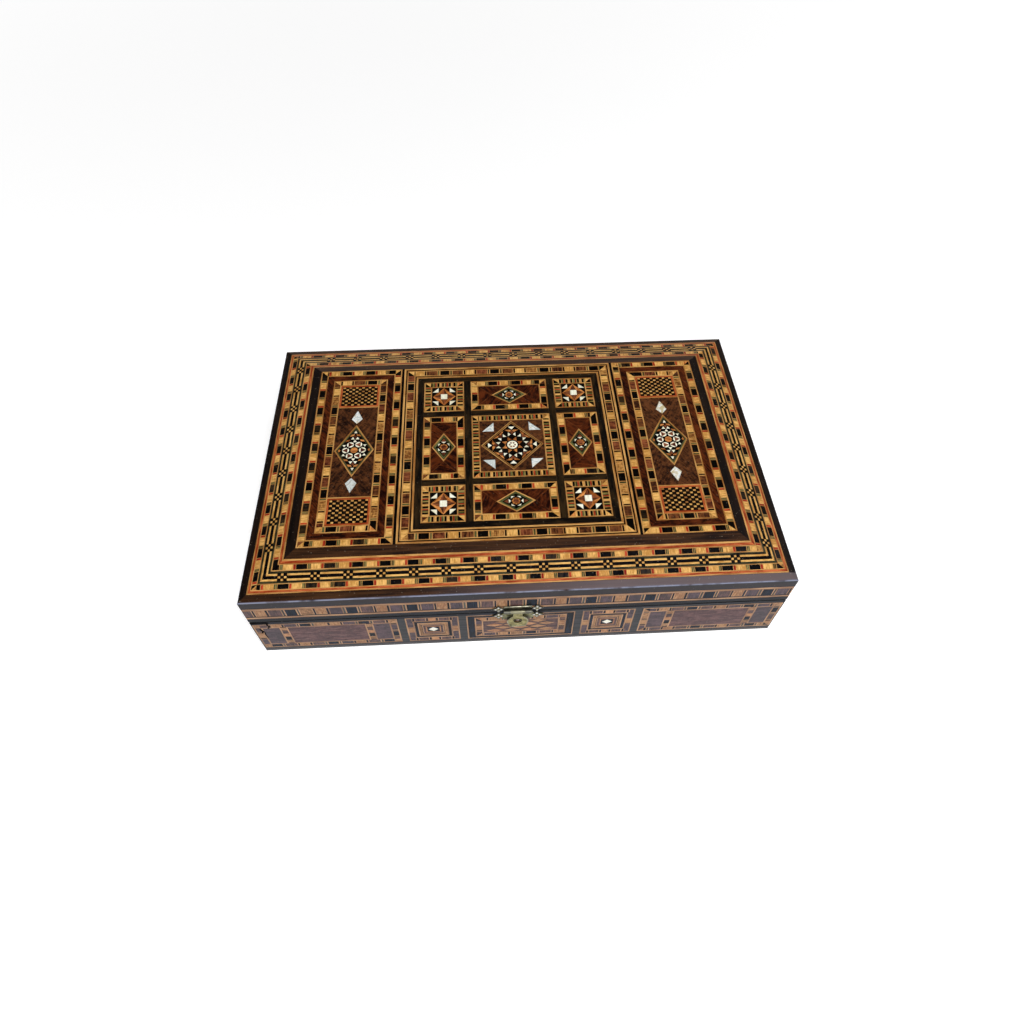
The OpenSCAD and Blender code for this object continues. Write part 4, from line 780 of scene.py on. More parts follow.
def flame_panel(sheet):
    """A black border and a fillet round four rows of rhombi in two woods, like flames."""
    sheet.band("boxwood", -MIDDLE_HALF, MIDDLE_HALF, PANEL_LOW, PANEL_HIGH, LINE)
    s1, border = 33.2, 3.3
    low, high = PANEL_LOW + border, PANEL_HIGH - border
    sheet.strip("ebony", -38.2, -s1, PANEL_LOW + LINE, PANEL_HIGH - LINE)
    sheet.strip("ebony", s1, 38.2, PANEL_LOW + LINE, PANEL_HIGH - LINE)
    sheet.strip("ebony", -s1, s1, PANEL_LOW + LINE, low)
    sheet.strip("ebony", -s1, s1, high, PANEL_HIGH - LINE)
    sheet.band("boxwood", -s1, s1, low, high, LINE)
    sheet.fillet(-s1 + LINE, s1 - LINE, low + LINE, high - LINE, FILLET - 2 * LINE, WALNUT_ROW,
                 (12.0, 8.0, 12.0, 8.0))
    s1, low, high = s1 - FILLET, low + FILLET, high - FILLET
    sheet.band("boxwood", -s1 - LINE, s1 + LINE, low - LINE, high + LINE, LINE)
    sheet.strip("walnut", -s1, s1, low, high, under=1)
    rows, long = 4, 12.6
    pitch = (high - low) / rows
    for r in range(rows):
        for c in range(4 - r % 2):
            s = (c - 1.5 + (r % 2) / 2) * long
            t = low + (r + 0.5) * pitch
            sheet.tile("lemonwood" if (r + c) % 2 else "padauk", [
                (s - long / 2, t), (s, t - pitch / 2), (s + long / 2, t), (s, t + pitch / 2)])


def plain_panel(sheet):
    """A fillet round one mahogany field."""
    s1, low, high = MIDDLE_HALF, PANEL_LOW, PANEL_HIGH
    sheet.band("boxwood", -s1, s1, low, high, LINE)
    sheet.fillet(-s1 + LINE, s1 - LINE, low + LINE, high - LINE, FILLET - 2 * LINE, WALNUT_ROW)
    s1, low, high = s1 - FILLET, low + FILLET, high - FILLET
    sheet.band("boxwood", -s1 - LINE, s1 + LINE, low - LINE, high + LINE, LINE)
    sheet.strip("mahogany", -s1, s1, low, high)


def wall_sheet(i, seed):
    """The outside of wall i, counted round from the front, seen from outside."""
    angle = math.pi / 2 * i
    along = Vector((round(math.cos(angle)), round(math.sin(angle)), 0))
    out = along.cross(Vector((0, 0, 1)))
    off = BOX_D / 2 if i % 2 == 0 else BOX_W / 2
    return Sheet(out * off, along, (0, 0, 1), seed)


# The walls take the greyer, bluer tones, which hold a painted reflection of the floor.
wall_woods = palette("walls", True, 0.16)
WALL_NODES = {
    "front": (
        "base_front_lines", "base_front_block_fillets", "base_front_fields",
        "base_front_stepped_frames", "base_front_bone_diamonds", "base_front_flame_lozenges"),
    "right": ("base_right_marquetry",),
    "back": ("base_back_marquetry",),
    "left": ("base_left_marquetry",),
}
for i, side in enumerate(WALL_NODES):
    sheet = wall_sheet(i, 20 + i)
    near, far = (88.0, 189.4) if i % 2 == 0 else (24.5, 122.65)
    long_panel(sheet, near, far, (15.0, None, 36.4, None))
    long_panel(sheet, -far, -near, (21.4, None, 35.5, None))
    for middle in ((-63.5, 63.5) if i % 2 == 0 else (0.0,)):
        square_panel(sheet, middle)
    if side == "front":
        flame_panel(sheet)
    if side == "back":
        plain_panel(sheet)
    glue_down(f"base_{side}", [sheet], wall_woods, "base", WALL_NODES[side], 40 + i)

# Damage at the front left corner: the old shrinkage crack down the veneer, and the gap where
# the top edge has broken away, laid as black slices: grime packed in them, and painted shade in the gaps.
CRACKS = (
    [(-189.7, 42.4), (-184.0, 42.9), (-178.4, 42.6), (-176.6, 43.6), (-178.4, 44.9), (-184.0, 44.6),
     (-189.7, 45.0)],
    [(-179.2, 43.2), (-179.4, 40.4), (-178.7, 37.9), (-179.9, 35.6), (-178.7, 35.4), (-177.4, 38.0),
     (-178.1, 40.5), (-177.6, 43.2)],
    [(-186.3, 34.6), (-185.0, 31.4), (-185.9, 28.4), (-185.0, 28.0), (-183.2, 31.2), (-184.5, 34.9)],
    [(-183.7, 31.0), (-184.1, 26.0), (-183.4, 19.5), (-183.0, 19.5), (-183.2, 26.0), (-182.9, 31.0)])
# Packed grime with painted shade: black and quite matt, so that a crack reads as a gap.
grime_and_shade, tree, shader = new_material("grime packed in a crack")
fill(tree, shader, {"Base Color": linear("#040303"), "Roughness": 0.9, "Specular IOR Level": 0.05})
cracked = wall_sheet(0, 55)
for outline in CRACKS:
    cracked.tile("ebony", outline, 90, -1.6)
glue_down("base_front_cracks", [cracked], {"ebony": grime_and_shade}, "base", ("base_front_block_fillets",), 56)


# Rim band of the lid: a light rod, a dark one, a row of tall blocks, and a light and a dark
# rod again, round all four rails.
RIM = (("boxwood", 2.0), ("ebony", 1.0), (None, 8.4), ("boxwood", 2.6), ("ebony", 1.0))
RIM_Z, RIM_FIRST = 50.5, 7.9
rim_sheets = []
for i in range(4):
    sheet = wall_sheet(i, 60 + i)
    half = BOX_W / 2 if i % 2 == 0 else BOX_D / 2 - SHEET_T
    t = RIM_Z
    for wood, height in RIM:
        if wood:
            sheet.strip(wood, -half, half, t, t + height)
        else:
            sheet.row((-half, t + height / 2), (half, t + height / 2), height, WALNUT_ROW, RIM_FIRST)
        t += height
    rim_sheets.append(sheet)
glue_down("lid_rim", rim_sheets, wall_woods, "lid", ("lid_rim_band",), 66)

# Sloped border: fifteen rods let flush into each slope board, mitred at the corners. Two are
# rows of blocks, and three light and black rods in the middle carry small checker crosses.
SLOPE_RUN, SLOPE_RISE, EDGE_W = 36.4, 9.1, 5.7
slope = math.atan2(SLOPE_RISE, SLOPE_RUN)
top_woods = palette("lid", False, 0.22)
RODS = (
    ("boxwood", 0.9), ("redwood", 1.5), ("boxwood", 0.6), (None, 3.5), ("boxwood", 0.6),
    ("mosswood", 1.6), ("lemonwood", 1.4), ("ebony", 2.3), ("lemonwood", 1.4), ("mosswood", 1.8),
    ("boxwood", 0.8), (None, 3.6), ("boxwood", 0.8), ("redwood", 1.9), ("boxwood", 1.3))
CROSS_PITCH, CROSS_FIRST, CORNER_CLEAR, MITRE_GAP = 22.15, 16.0, 26.0, 0.15
# Rods five to nine lie a hair lower, because the crosses are let into them. The two rows of
# blocks mirror each other, and each has its own place in its pattern.
CROSSED, INNER_ROW, OUTER_START, INNER_START = range(5, 10), 11, 3.7, -9.9
for i, side in enumerate(WALL_NODES):
    wall = wall_sheet(i, 0)
    half = (BOX_W if i % 2 == 0 else BOX_D) / 2
    up = -wall.out * math.cos(slope) + Vector((0, 0, math.sin(slope)))
    sheet = Sheet(wall.origin + Vector((0, 0, EDGE_Z)), wall.along, up, 80 + i, SLOPE_SHEET_T)
    t = EDGE_W / math.cos(slope)
    for k, (wood, width) in enumerate(RODS):
        a = half - t * math.cos(slope) - MITRE_GAP
        b = half - (t + width) * math.cos(slope) - MITRE_GAP
        under = 2 if k in CROSSED else 0
        if wood:
            sheet.tile(wood, [(-a, t), (a, t), (b, t + width), (-b, t + width)], 0, under)
        else:
            pattern, first = (
                (BLACK_ROW, b + INNER_START) if k == INNER_ROW else (BLACK_ROW[::-1], b + OUTER_START))
            sheet.row((-b, t + width / 2), (b, t + width / 2), width, pattern, first)
            for end in (-1, 1):
                sheet.tile(sheet.dice.choice(("ebony", "lemonwood", "nutwood")), [
                    (end * a, t), (end * b, t), (end * b, t + width)], 90)
        if k == 6:
            cross_t = t + 2.55  # the middle of the black rod, which comes next
        t += width
    reach = half - CORNER_CLEAR
    first = CROSS_FIRST - CROSS_PITCH * int((CROSS_FIRST + reach) / CROSS_PITCH)
    for c in range(int((reach - first) / CROSS_PITCH) + 1):
        s, t = first + c * CROSS_PITCH, cross_t
        sheet.strip("ebony", s - 3.35, s + 3.35, t - 3.2, t + 3.2, 90, 1)
        for ds, dt in ((-2.15, 0), (2.15, 0), (0, -1.85), (0, 1.85)):
            sheet.strip("lemonwood", s + ds - 0.85, s + ds + 0.85, t + dt - 0.75, t + dt + 0.75, 90)
    glue_down(f"lid_{side}_border", [sheet], top_woods, "lid", (f"lid_{side}_border",), 90 + i)

# Field of the lid: two side panels and a centre panel of nine cells in dark strips. All of it
# is one level sheet of slices on the raised core.
FIELD_Z = EDGE_Z + SLOPE_RISE
FIELD_W, FIELD_D = BOX_W - 2 * SLOPE_RUN, BOX_D - 2 * SLOPE_RUN
SIDE_W, DIVIDER, NARROW, THIN = 66.4, 2.0, 6.2, 0.9
field = Sheet((0, 0, FIELD_Z), (1, 0, 0), (0, 1, 0), 7)


def rhombus(s, t, a, b):
    """The corners of a rhombus about (s, t) from its half diagonals."""
    return [(s - a, t), (s, t - b), (s + a, t), (s, t + b)]


def rhombus_lines(sheet, s, t, a, b, lines):
    """Lines of equal strips round a rhombus, from outside in. Returns the half diagonals left."""
    slant = math.hypot(a, b)
    done = 0.0
    for wood, width in lines:
        outer = rhombus(s, t, a - done * slant / b, b - done * slant / a)
        done += width
        inner = rhombus(s, t, a - done * slant / b, b - done * slant / a)
        for k in range(4):
            after = (k + 1) % 4
            way = Vector(outer[after]) - Vector(outer[k])
            sheet.tile(wood, [outer[k], outer[after], inner[after], inner[k]],
                       math.degrees(math.atan2(way.y, way.x)))
    return a - done * slant / b, b - done * slant / a


def circle(count):
    """The cosine and sine of as many angles all the way round."""
    return [(math.cos(math.tau * k / count), math.sin(math.tau * k / count)) for k in range(count)]


def disc(sheet, wood, s, t, radius, under=0):
    """A round slice."""
    sheet.tile(wood, [(s + radius * c, t + radius * d) for c, d in circle(24)], 0, under)


def around(s, t, angle, points):
    """Points given as distance out and distance aside, turned by angle about (s, t)."""
    c, d = math.cos(math.radians(angle)), math.sin(math.radians(angle))
    return [(s + x * c - y * d, t + x * d + y * c) for x, y in points]


def filleted(sheet, s0, s1, t0, t1, pattern, firsts=(None,) * 4):
    """A fillet of blocks between two lines, round the inside of a rectangle."""
    sheet.band("boxwood", s0, s1, t0, t1, THIN)
    sheet.fillet(s0 + THIN, s1 - THIN, t0 + THIN, t1 - THIN, NARROW - 2 * THIN, pattern, firsts)
    g = NARROW - THIN
    sheet.band("boxwood", s0 + g, s1 - g, t0 + g, t1 - g, THIN)


def seam(sheet, wood, start, end, width):
    """A fine strip of another wood along a seam."""
    start, end = Vector(start), Vector(end)
    way = (end - start).normalized()
    aside = Vector((-way.y, way.x)) * width / 2
    sheet.tile(wood, [start - aside, end - aside, end + aside, start + aside],
               math.degrees(math.atan2(way.y, way.x)))


# Side panels: an outer fillet, a mahogany border, an inner fillet, and a field of walnut burl
# with a checker panel at each end, a long lozenge and two pearl kites.
CHECKER_D, CHECKER_FRAME, BORDER = 24.0, 1.5, 5.2
LOZENGE_GAP, KITE_GAP, KITE_HALF, KITE_WAIST, KITE_LONG = 18.4, 17.4, 4.25, 5, 14
side_x = (FIELD_W - SIDE_W) / 2
for side in (-1, 1):
    x = side * side_x
    s0, s1, t0, t1 = x - SIDE_W / 2, x + SIDE_W / 2, -FIELD_D / 2, FIELD_D / 2
    filleted(field, s0, s1, t0, t1, BLACK_ROW)
    s0, s1, t0, t1 = s0 + NARROW, s1 - NARROW, t0 + NARROW, t1 - NARROW
    field.band("mahogany", s0, s1, t0, t1, BORDER, (4, 118, -4, 124))
    s0, s1, t0, t1 = s0 + BORDER, s1 - BORDER, t0 + BORDER, t1 - BORDER
    filleted(field, s0, s1, t0, t1, WALNUT_ROW)
    s0, s1, t0, t1 = s0 + NARROW, s1 - NARROW, t0 + NARROW, t1 - NARROW
    for end in (-1, 1):
        low, high = sorted((end * t1, end * (t1 - CHECKER_D)))
        field.band("redwood", s0, s1, low, high, CHECKER_FRAME)
        a, b = s0 + CHECKER_FRAME, s1 - CHECKER_FRAME
        c, d = low + CHECKER_FRAME, high - CHECKER_FRAME
        field.strip("ebony", a, b, c, d, under=1)
        columns, rows = 11, 10
        for r in range(rows):
            for q in range(columns):
                if (r + q) % 2:
                    s = a + (q + 0.5) * (b - a) / columns + field.dice.uniform(-0.14, 0.14)
                    t = c + (r + 0.5) * (d - c) / rows + field.dice.uniform(-0.14, 0.14)
                    field.strip(field.dice.choice(("lemonwood", "lemonwood", "boxwood")),
                                s - 0.98, s + 0.98, t - 0.74, t + 0.74, 90)
        low, high = sorted((end * (t1 - CHECKER_D), end * (t1 - CHECKER_D - THIN)))
        field.strip("boxwood", s0, s1, low, high)
    reach = t1 - CHECKER_D - THIN
    half, a, b = (s1 - s0) / 2, (s1 - s0) / 2 - 0.6, reach - LOZENGE_GAP
    for sx in (-1, 1):
        for sy in (-1, 1):
            field.tile("burl", [
                (x + sx * half, sy * reach), (x, sy * reach), (x, sy * b), (x + sx * a, 0),
                (x + sx * half, 0)], 58 * sx * sy, 1)
    a, b = rhombus_lines(field, x, 0, a, b, (("boxwood", 1.0), ("greenwood", 0.7), ("mosswood", 0.6)))
    field.tile("ebony", rhombus(x, 0, a, b), 90, 3)
    disc(field, "padauk", x, 0, 2.75, 1)
    for k in range(6):
        s, t = around(x, 0, 60 * k, [(6.35, 0)])[0]
        disc(field, "bone", s, t, 2.65, 1)
        field.tile("rosewood", around(s, t, 180 * (k % 2), [(-1.45, -2.45), (-1.45, 2.45), (2.65, 0)]), 90)
    for end in (-1, 1):
        for sx in (-1, 1):
            for wood, under, points in (
                    ("bone", 1, ((6.5, 5.5), (9.2, 5.5), (7.9, 3.2))),
                    ("padauk", 2, ((10.2, 0), (11.3, -1.7), (12.3, 0), (11.3, 1.7))),
                    ("padauk", 1, ((3.7, 10.8), (4.5, 9.0), (7.5, 8.5), (6.5, 10.2))),
                    ("bone", 1, ((0.35, 10.9), (3.3, 10.9), (1.75, 13.5))),
                    ("padauk", 1, ((0.5, 16.2), (1.3, 14.6), (4.2, 13.9), (3.2, 16.0)))):
                if wood != "padauk" or under == 1 or end > 0:
                    field.tile(wood, [(x + sx * a, end * b) for a, b in points], 0, under)
        for wood, points in (
                ("bone", ((-1.5, 8.1), (1.5, 8.1), (0, 10.6))),
                ("rosewood", ((-1.3, 14.0), (0, 11.7), (1.3, 14.0), (0, 15.2))),
                ("bone", ((-1.3, 17.3), (1.3, 17.3), (0, 20.1)))):
            field.tile(wood, [(x + a, end * b) for a, b in points], 0, 1)
        y = reach - KITE_GAP
        field.tile("pearl", [
            (x, end * y), (x + KITE_HALF, end * (y + KITE_WAIST)),
            (x, end * (y + KITE_LONG)), (x - KITE_HALF, end * (y + KITE_WAIST))])

# Centre frame: three rods on both sides of a row of blocks, then the dark ground that divides
# the nine cells.
centre_w = FIELD_W - 2 * (SIDE_W + DIVIDER)
for side in (-1, 1):
    x = side * (centre_w + DIVIDER) / 2
    field.strip("ebony", x - DIVIDER / 2, x + DIVIDER / 2, -FIELD_D / 2, FIELD_D / 2)
s, t = centre_w / 2, FIELD_D / 2
for wood, width in (
        ("boxwood", 1.5), ("ebony", 1.0), ("boxwood", 0.8), (None, 5.0), ("boxwood", 0.8),
        ("ebony", 1.0), ("boxwood", 1.5)):
    if wood:
        field.band(wood, -s, s, -t, t, width)
    else:
        field.fillet(-s, s, -t, t, width, WALNUT_ROW, (28.0, 19.0, 22.0, 30.0))
    s, t = s - width, t - width
GROUND, STRIP, CELL_W, CELL_D = 5.2, 5.6, 32.0, 33.0
field.band("darkwalnut", -s, s, -t, t, GROUND)
grid_w, grid_d = 2 * (s - GROUND), 2 * (t - GROUND)
mid_w, mid_d = grid_w - 2 * (CELL_W + STRIP), grid_d - 2 * (CELL_D + STRIP)
for side in (-1, 1):
    x = side * (mid_w + STRIP) / 2
    field.strip("darkwalnut", x - STRIP / 2, x + STRIP / 2, -grid_d / 2, grid_d / 2)
    y = side * (mid_d + STRIP) / 2
    field.strip("darkwalnut", -mid_w / 2, mid_w / 2, y - STRIP / 2, y + STRIP / 2)
    x = side * (grid_w - CELL_W) / 2
    for end in (-1, 1):
        y = end * (mid_d + STRIP) / 2
        field.strip("darkwalnut", x - CELL_W / 2, x + CELL_W / 2, y - STRIP / 2, y + STRIP / 2)


# Corner cells: fine fillets round a black square with a four-pointed star in two woods, a
# bone square in its middle and a bone triangle in each corner.
def corner_cell(sheet, x, y):
    w, d = CELL_W / 2, CELL_D / 2
    filleted(sheet, x - w, x + w, y - d, y + d, FINE_ROW)
    w, d = w - NARROW, d - NARROW
    sheet.strip("ebony", x - w, x + w, y - d, y + d, under=3)
    a, b = w - 0.6, d - 0.6
    leg, gap = 4.8, 0.5
    for sx, sy in ((-1, -1), (1, -1), (1, 1), (-1, 1)):
        sheet.tile("padauk", [
            (x, y + sy * b), (x + sx * a, y), (x + sx * 2.4, y), (x, y + sy * 2.4)], -45 * sx * sy, 2)
        corner = (x + sx * (w - gap - leg), y + sy * (d - gap - leg))
        sheet.tile("bone", [
            corner, (corner[0] + sx * leg, corner[1]), (corner[0], corner[1] + sy * leg)])
    for k in range(4):
        far = a if k % 2 == 0 else b
        for aside in (-1, 1):
            sheet.tile("rosewood" if aside > 0 else "walnut", around(x, y, 90 * k, [
                (2.2, 0), (2.7, 2.8 * aside), (far - 0.6, 0)]), 90 * k, 1)
    sheet.strip("bone", x - 2.6, x + 2.6, y - 2.8, y + 2.8)


# Middle cells: a fillet of black blocks round a mahogany field with radiating seams and a
# small lozenge. turned tells that the lozenge points front and back.
def middle_cell(sheet, x, y, w, d, turned):
    filleted(sheet, x - w, x + w, y - d, y + d, BLACK_ROW)
    w, d = w - NARROW, d - NARROW
    spin = 90 if turned else 0
    if turned:
        w, d = d, w
    a, b = 14.3, d - 0.6
    for sx in (-1, 1):
        sheet.tile("mahogany", around(x, y, spin, [(sx * w, -d), (sx * a, 0), (sx * w, d)]), spin + 75, 1)
        for sy in (-1, 1):
            sheet.tile("mahogany", around(x, y, spin, [
                (sx * w, sy * d), (sx * a, 0), (0, sy * b), (0, sy * d)]), spin + 50 * sx * sy, 1)
            ends = around(x, y, spin, [(sx * w, sy * d), (sx * a, 0)])
            seam(sheet, "walnut", ends[0], ends[1], 0.35)
    slant = math.hypot(a, b)
    done = 0.0
    for wood, width in (("boxwood", 0.9), ("greenwood", 1.5)):
        outer = [(a - done * slant / b, 0), (0, b - done * slant / a)]
        done += width
        inner = [(a - done * slant / b, 0), (0, b - done * slant / a)]
        for sx in (-1, 1):
            for sy in (-1, 1):
                sheet.tile(wood, around(x, y, spin, [
                    (sx * outer[0][0], 0), (0, sy * outer[1][1]),
                    (0, sy * inner[1][1]), (sx * inner[0][0], 0)]),
                    spin - math.degrees(math.atan2(b, a)) * sx * sy)
    a, b = a - done * slant / b, b - done * slant / a
    sheet.tile("ebony", around(x, y, spin, [(-a, 0), (0, -b), (a, 0), (0, b)]), 0, 3)
    disc(sheet, "padauk", x, y, 3.1, 2)
    for k in range(8):
        sheet.tile("ebony", around(x, y, spin + 22.5 + 45 * k, [(1.9, 0), (3.2, -0.5), (3.2, 0.5)]), 0, 1)
    disc(sheet, "rosewood", x, y, 2.0)
    for sx in (-1, 1):
        sheet.tile("bone", around(x, y, spin, [(sx * 3.7, 0), (sx * 5.3, -1.9), (sx * 5.3, 1.9)]))
        sheet.tile("rosewood", around(x, y, spin, [(sx * 5.5, -1.9), (sx * 5.5, 1.9), (sx * 9.0, 0)]))
        for sy in (-1, 1):
            sheet.tile("bone", around(x, y, spin, [
                (sx * 0.8, sy * 4.4), (sx * 3.7, sy * 2.4), (sx * 3.3, sy * 4.2)]))


for sx in (-1, 1):
    for sy in (-1, 1):
        corner_cell(field, sx * (grid_w - CELL_W) / 2, sy * (grid_d - CELL_D) / 2)
    middle_cell(field, 0, sx * (grid_d - CELL_D) / 2, mid_w / 2, CELL_D / 2, False)
    middle_cell(field, sx * (grid_w - CELL_W) / 2, 0, CELL_W / 2, mid_d / 2, True)

# Centre cell: fine fillets round a walnut burl square, pearl triangles in its corners, and a
# diamond with an eight-pointed star of black, orange, white and brown slices.
filleted(field, -mid_w / 2, mid_w / 2, -mid_d / 2, mid_d / 2, FINE_ROW)
w, d = mid_w / 2 - NARROW, mid_d / 2 - NARROW
a, b = w - 0.6, d - 0.6
for sx in (-1, 1):
    for sy in (-1, 1):
        field.tile("burl", [
            (sx * w, sy * d), (0, sy * d), (0, sy * b), (sx * a, 0), (sx * w, 0)], 35 * sx * sy, 1)
        leg, gap = 9.0, 1.9
        s, t = w - gap - leg, d - gap - leg
        field.tile("pearl", [(sx * s, sy * t), (sx * (s + leg), sy * t), (sx * s, sy * (t + leg))])
a, b = rhombus_lines(field, 0, 0, a, b, (("boxwood", 0.7), ("mosswood", 0.6), ("boxwood", 0.5)))
field.tile("ebony", rhombus(0, 0, a, b), 0, 3)
disc(field, "bone", 0, 0, 4.0, 2)
for k in range(6):
    field.tile("rosewood", around(0, 0, 60 * k, [(1.1, 0), (2.0, -0.95), (3.0, 0), (2.0, 0.95)]), 0, 1)
for k in range(8):
    turn = 45 * k
    rim = 0 if k % 2 == 0 else 0.7
    field.tile("padauk", around(0, 0, turn + 22.5, [(4.9, -1.8), (4.9, 1.8), (8.5, 0)]), turn, 1)
    field.tile("rosewood", around(0, 0, turn, [
        (10.7, 0), (13.3 - rim / 2, -2.1), (14.3 - rim / 2, 0), (13.3 - rim / 2, 2.1)]), turn)
    for aside in (-1, 1):
        field.tile("bone", around(0, 0, turn, [(12.6, 2.9 * aside), (8.8, 3.0 * aside), (10.6, 0.8 * aside)]))
        field.tile("padauk", around(0, 0, turn, [
            (14.3 - rim / 2, 0.1 * aside), (13.3 - rim / 2, 2.2 * aside), (15.3 - rim, 5.5 * aside),
            (15.4 - rim, 1.6 * aside)]), turn)
for k in range(4):
    field.tile("bone", around(0, 0, 90 * k, [(15.6, 0), (18.7, -2.6), (18.7, 2.6)]))
FIELD_NODES = (
    "field_dark_strips", "field_light_lines", "field_block_fillets", "field_mahogany_panels",
    "field_burl_panels", "field_checker_panels", "field_green_lines", "field_ebony_inlays",
    "field_bone_inlays", "field_padauk_inlays", "field_pearl_inlays")
glue_down("field", [field], top_woods, "lid", FIELD_NODES, 99)


# Hinges and fastenings: butt hinges of stamped brass with brass screws and nails, and pins of
# steel wire. The brass has gone yellow-green and brown in patches.
def toned_brass(name, deep, pale, polish, rubbed_and_highlit=None, axis="Y", start=-124.0, end=-124.7):
    """Brass in two tones of tarnish, in patches of about 4 mm, glossier where it is paler.
    rubbed_and_highlit is its colour beyond a place on one axis in millimetres: polish from hands
    there, and a painted highlight on the parts that stand out furthest."""
    material, tree, shader = new_material(name)
    place = add(tree, "ShaderNodeTexCoord").outputs["Object"]
    patches = add(tree, "ShaderNodeTexNoise", {
        "Vector": place, "Scale": 0.26 / MM, "Detail": 5.0, "Roughness": 0.65}).outputs[0]
    factor = add(tree, "ShaderNodeMapRange", {"Value": patches, "From Min": 0.35, "From Max": 0.62})
    colour = add(tree, "ShaderNodeMix", {
        "Factor": factor.outputs[0], "A": linear(deep), "B": linear(pale)}, data_type="RGBA")
    if rubbed_and_highlit:
        colour = add(tree, "ShaderNodeMix", {
            "Factor": zone(tree, 1.0, (axis, start, end, 0.85)), "A": colour.outputs["Result"],
            "B": linear(rubbed_and_highlit)}, data_type="RGBA")
    rough = add(tree, "ShaderNodeMapRange", {
        "Value": patches, "From Min": 0.3, "From Max": 0.7, "To Min": polish + 0.2, "To Max": polish})
    bump = add(tree, "ShaderNodeBump", {"Strength": 0.4, "Distance": 0.05 * MM, "Height": patches})
    fill(tree, shader, {
        "Base Color": colour.outputs["Result"], "Roughness": rough.outputs[0], "Metallic": 0.8,
        "Normal": bump.outputs[0]})
    return material


brass = toned_brass("toned stamped brass", "#57522e", "#9c9460", 0.38)
steel = toned_brass("dull steel wire", "#5c5a55", "#a09c94", 0.35)
for node in (
        "hinge_left_base_leaf", "hinge_left_lid_leaf", "hinge_right_base_leaf", "hinge_right_lid_leaf",
        "hinge_base_screws", "hinge_lid_screws", "latch_lid_nails", "latch_base_nails"):
    dress(node, brass)
for node in ("hinge_pins", "latch_pin"):
    dress(node, steel)

# Latch: thin sheet, blanked and stamped, with its edges rubbed by the thumb and painted paler as
# a highlight too. The plates are nearly black, and the flap that rolls round the pin is yellower.
LATCH_X, FRONT_Y, PLATE_T = -2.3, -BOX_D / 2, 0.6
PIN_Z, FLAP_Y = 49.1, FRONT_Y - 2.2 - 0.35
# The plates turn paler on their forward parts and the flap on its roll: polish, and a painted highlight.
dark_brass = toned_brass("blackened stamped brass", "#1e1d18", "#5c5a48", 0.4, "#67665d")
olive_brass = toned_brass("half blackened stamped brass", "#34321f", "#7a7850", 0.36, "#96937e")
flap_brass = toned_brass(
    "stamped brass, rubbed at its roll", "#57522e", "#9c9460", 0.38, "#86836f", "Z", 47.2, 48.2)
# Edges and beads are paler: rubbed brass, and a painted highlight as well.
rubbed_highlit_brass = toned_brass("rubbed edges of brass", "#6a6854", "#aaa792", 0.32)


def every(a, b):
    """All the sharp edges of a piece."""
    return True


for name, node, body, metal in (
        ("stamped_lid_plate", "latch_lid_plate", "lid", dark_brass),
        ("stamped_keeper_plate", "latch_keeper_plate", "base", olive_brass),
        ("stamped_flap", "latch_flap", "latch_flap", flap_brass)):
    softened(name, node, body, "antique_brass", 0.16, every, metal, rubbed_highlit_brass)


def pressed(name, groups, body, node, material, closed=False):
    """Shells of rings of points that are joined one to the next, in millimetres: the distance
    right of the latch's middle, the depth and the height. closed tells that the last ring
    joins the first, and otherwise both ends are capped."""
    shape = bmesh.new()
    for group in groups:
        made = [[shape.verts.new(Vector((LATCH_X + x, y, z)) * MM) for x, y, z in ring] for ring in group]
        pairs = list(zip(made, made[1:]))
        if closed:
            pairs.append((made[-1], made[0]))
        for low, high in pairs:
            for k in range(len(low)):
                after = (k + 1) % len(low)
                shape.faces.new((low[k], low[after], high[after], high[k]))
        if not closed:
            shape.faces.new(made[0])
            shape.faces.new(made[-1])
    bmesh.ops.recalc_face_normals(shape, faces=shape.faces)
    settle(smooth_object(name, shape, [material], 40), body, [node])


# Relief of the latch: a pointed rosette round each nail, its crests painted near white as a
# highlight, a bead along the top of the lid plate and the edge of the flap, and a collar round
# the flap's hole, grimy and painted dark as shade.
crest_highlight_brass = toned_brass(
    "blackened brass with painted highlights on its crests", "#1e1d18", "#4c4a3c", 0.3, "#f0eee4", "Y", -124.1, -124.5)
# The collar: dark with grime, and painted dark as shade round the hole.
grimy_shaded_brass = toned_brass("brass under old grime", "#15120b", "#453f2a", 0.45)
ROSETTE_X, ROSETTE_R, UPPER_Z, LOWER_Z = 13.6, 4.6, 50.8, 41.1


def rosette(side, z):
    """A four-pointed rosette with hollow sides, raised in a crest round its nail."""
    rings = [[] for _ in range(5)]
    for c, d in circle(32):
        both = abs(c) + abs(d)
        reach = ROSETTE_R / both
        room = (0.95 * both) ** 2 - 1.1966
        if room > 0:
            reach = min(reach, ROSETTE_R * (0.95 * both - math.sqrt(room)))
        point = 0.5 + 0.5 * math.cos(4 * math.atan2(d, c))
        levels = (
            (1.2, PLATE_T - 0.1), (1.2, PLATE_T + 0.2),
            (max(1.6, 0.42 * reach), PLATE_T + 0.35 + 0.45 * point),
            (0.93 * reach, PLATE_T + 0.03), (0.93 * reach, PLATE_T - 0.1))
        for ring, (out, height) in zip(rings, levels):
            ring.append((side * ROSETTE_X + out * c, FRONT_Y - height, z + out * d))
    return rings


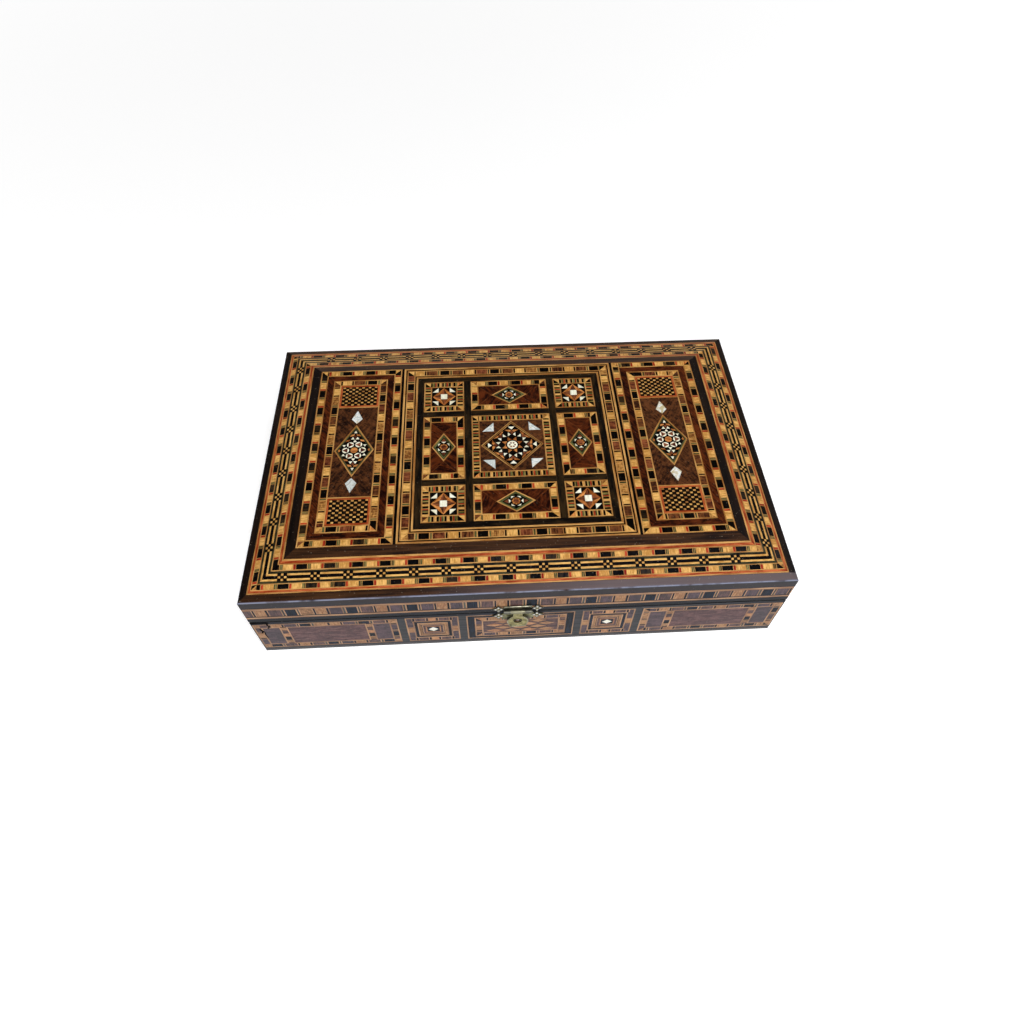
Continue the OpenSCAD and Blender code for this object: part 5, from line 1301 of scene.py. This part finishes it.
def bead(path, y, radius):
    """Rings of a round bead along a path of distances right and heights, thinner at both ends."""
    rings = []
    for k, (x, z) in enumerate(path):
        before, after = Vector(path[max(k - 1, 0)]), Vector(path[min(k + 1, len(path) - 1)])
        way = (after - before).normalized()
        r = radius * (0.35 if k in (0, len(path) - 1) else 1.0)
        rings.append([
            (x - way.y * r * c, y - r * d, z + way.x * r * c) for c, d in circle(8)])
    return rings


for name, z, body, node in (
        ("lid_plate_rosettes", UPPER_Z, "lid", "latch_lid_plate"),
        ("keeper_rosettes", LOWER_Z, "base", "latch_keeper_plate")):
    pressed(name, [rosette(side, z) for side in (-1, 1)], body, node, crest_highlight_brass, True)
pressed("lid_plate_bead", [bead(
    [(-9.8, 52.2), (-9.0, 52.9), (-8.4, 53.4), (8.4, 53.4), (9.0, 52.9), (9.8, 52.2)],
    FRONT_Y - PLATE_T, 0.42)], "lid", "latch_lid_plate", rubbed_highlit_brass)
FLAP_R, COLLAR_R, COLLAR_T = 7.2, 2.85, 0.28
edge = [(FLAP_R * math.cos(math.radians(a)), PIN_Z - 14 + FLAP_R * math.sin(math.radians(a)))
        for a in range(128, 181, 8)]
edge += [(-7.1, PIN_Z - 15.5), (-5.9, PIN_Z - 20.2), (-5.5, PIN_Z - 21.0), (-4.6, PIN_Z - 21.4)]
edge += [(-x, z) for x, z in edge[::-1]]
pressed("flap_edge_bead", [bead(edge, FLAP_Y, 0.3)], "latch_flap", "latch_flap", rubbed_highlit_brass)
rings = [
    [((COLLAR_R + COLLAR_T * a) * c, FLAP_Y - COLLAR_T * b, PIN_Z - 13 + (COLLAR_R + COLLAR_T * a) * d)
     for a, b in circle(8)] for c, d in circle(28)]
pressed("flap_hole_collar", [rings], "latch_flap", "latch_flap", grimy_shaded_brass, True)

# Stud: turned brass, once nickelled and now rosy where it has worn through. Its shank is driven
# into the wall, and its mushroom head fills the flap's hole. Radii, and distances from the wall.
nickel = toned_brass("worn nickelled stud", "#8a7670", "#e0cfc8", 0.3)
STUD = ((0.5, -5.0), (0.5, 0.5), (0.9, 0.55), (0.9, 1.1), (1.3, 1.25), (1.4, 1.5), (1.15, 1.85), (0.6, 2.1))
pressed("mushroom_stud", [[
    [(r * c, FRONT_Y - h, PIN_Z - 13.6 + r * d) for c, d in circle(20)] for r, h in STUD]],
    "base", "latch_stud", nickel)
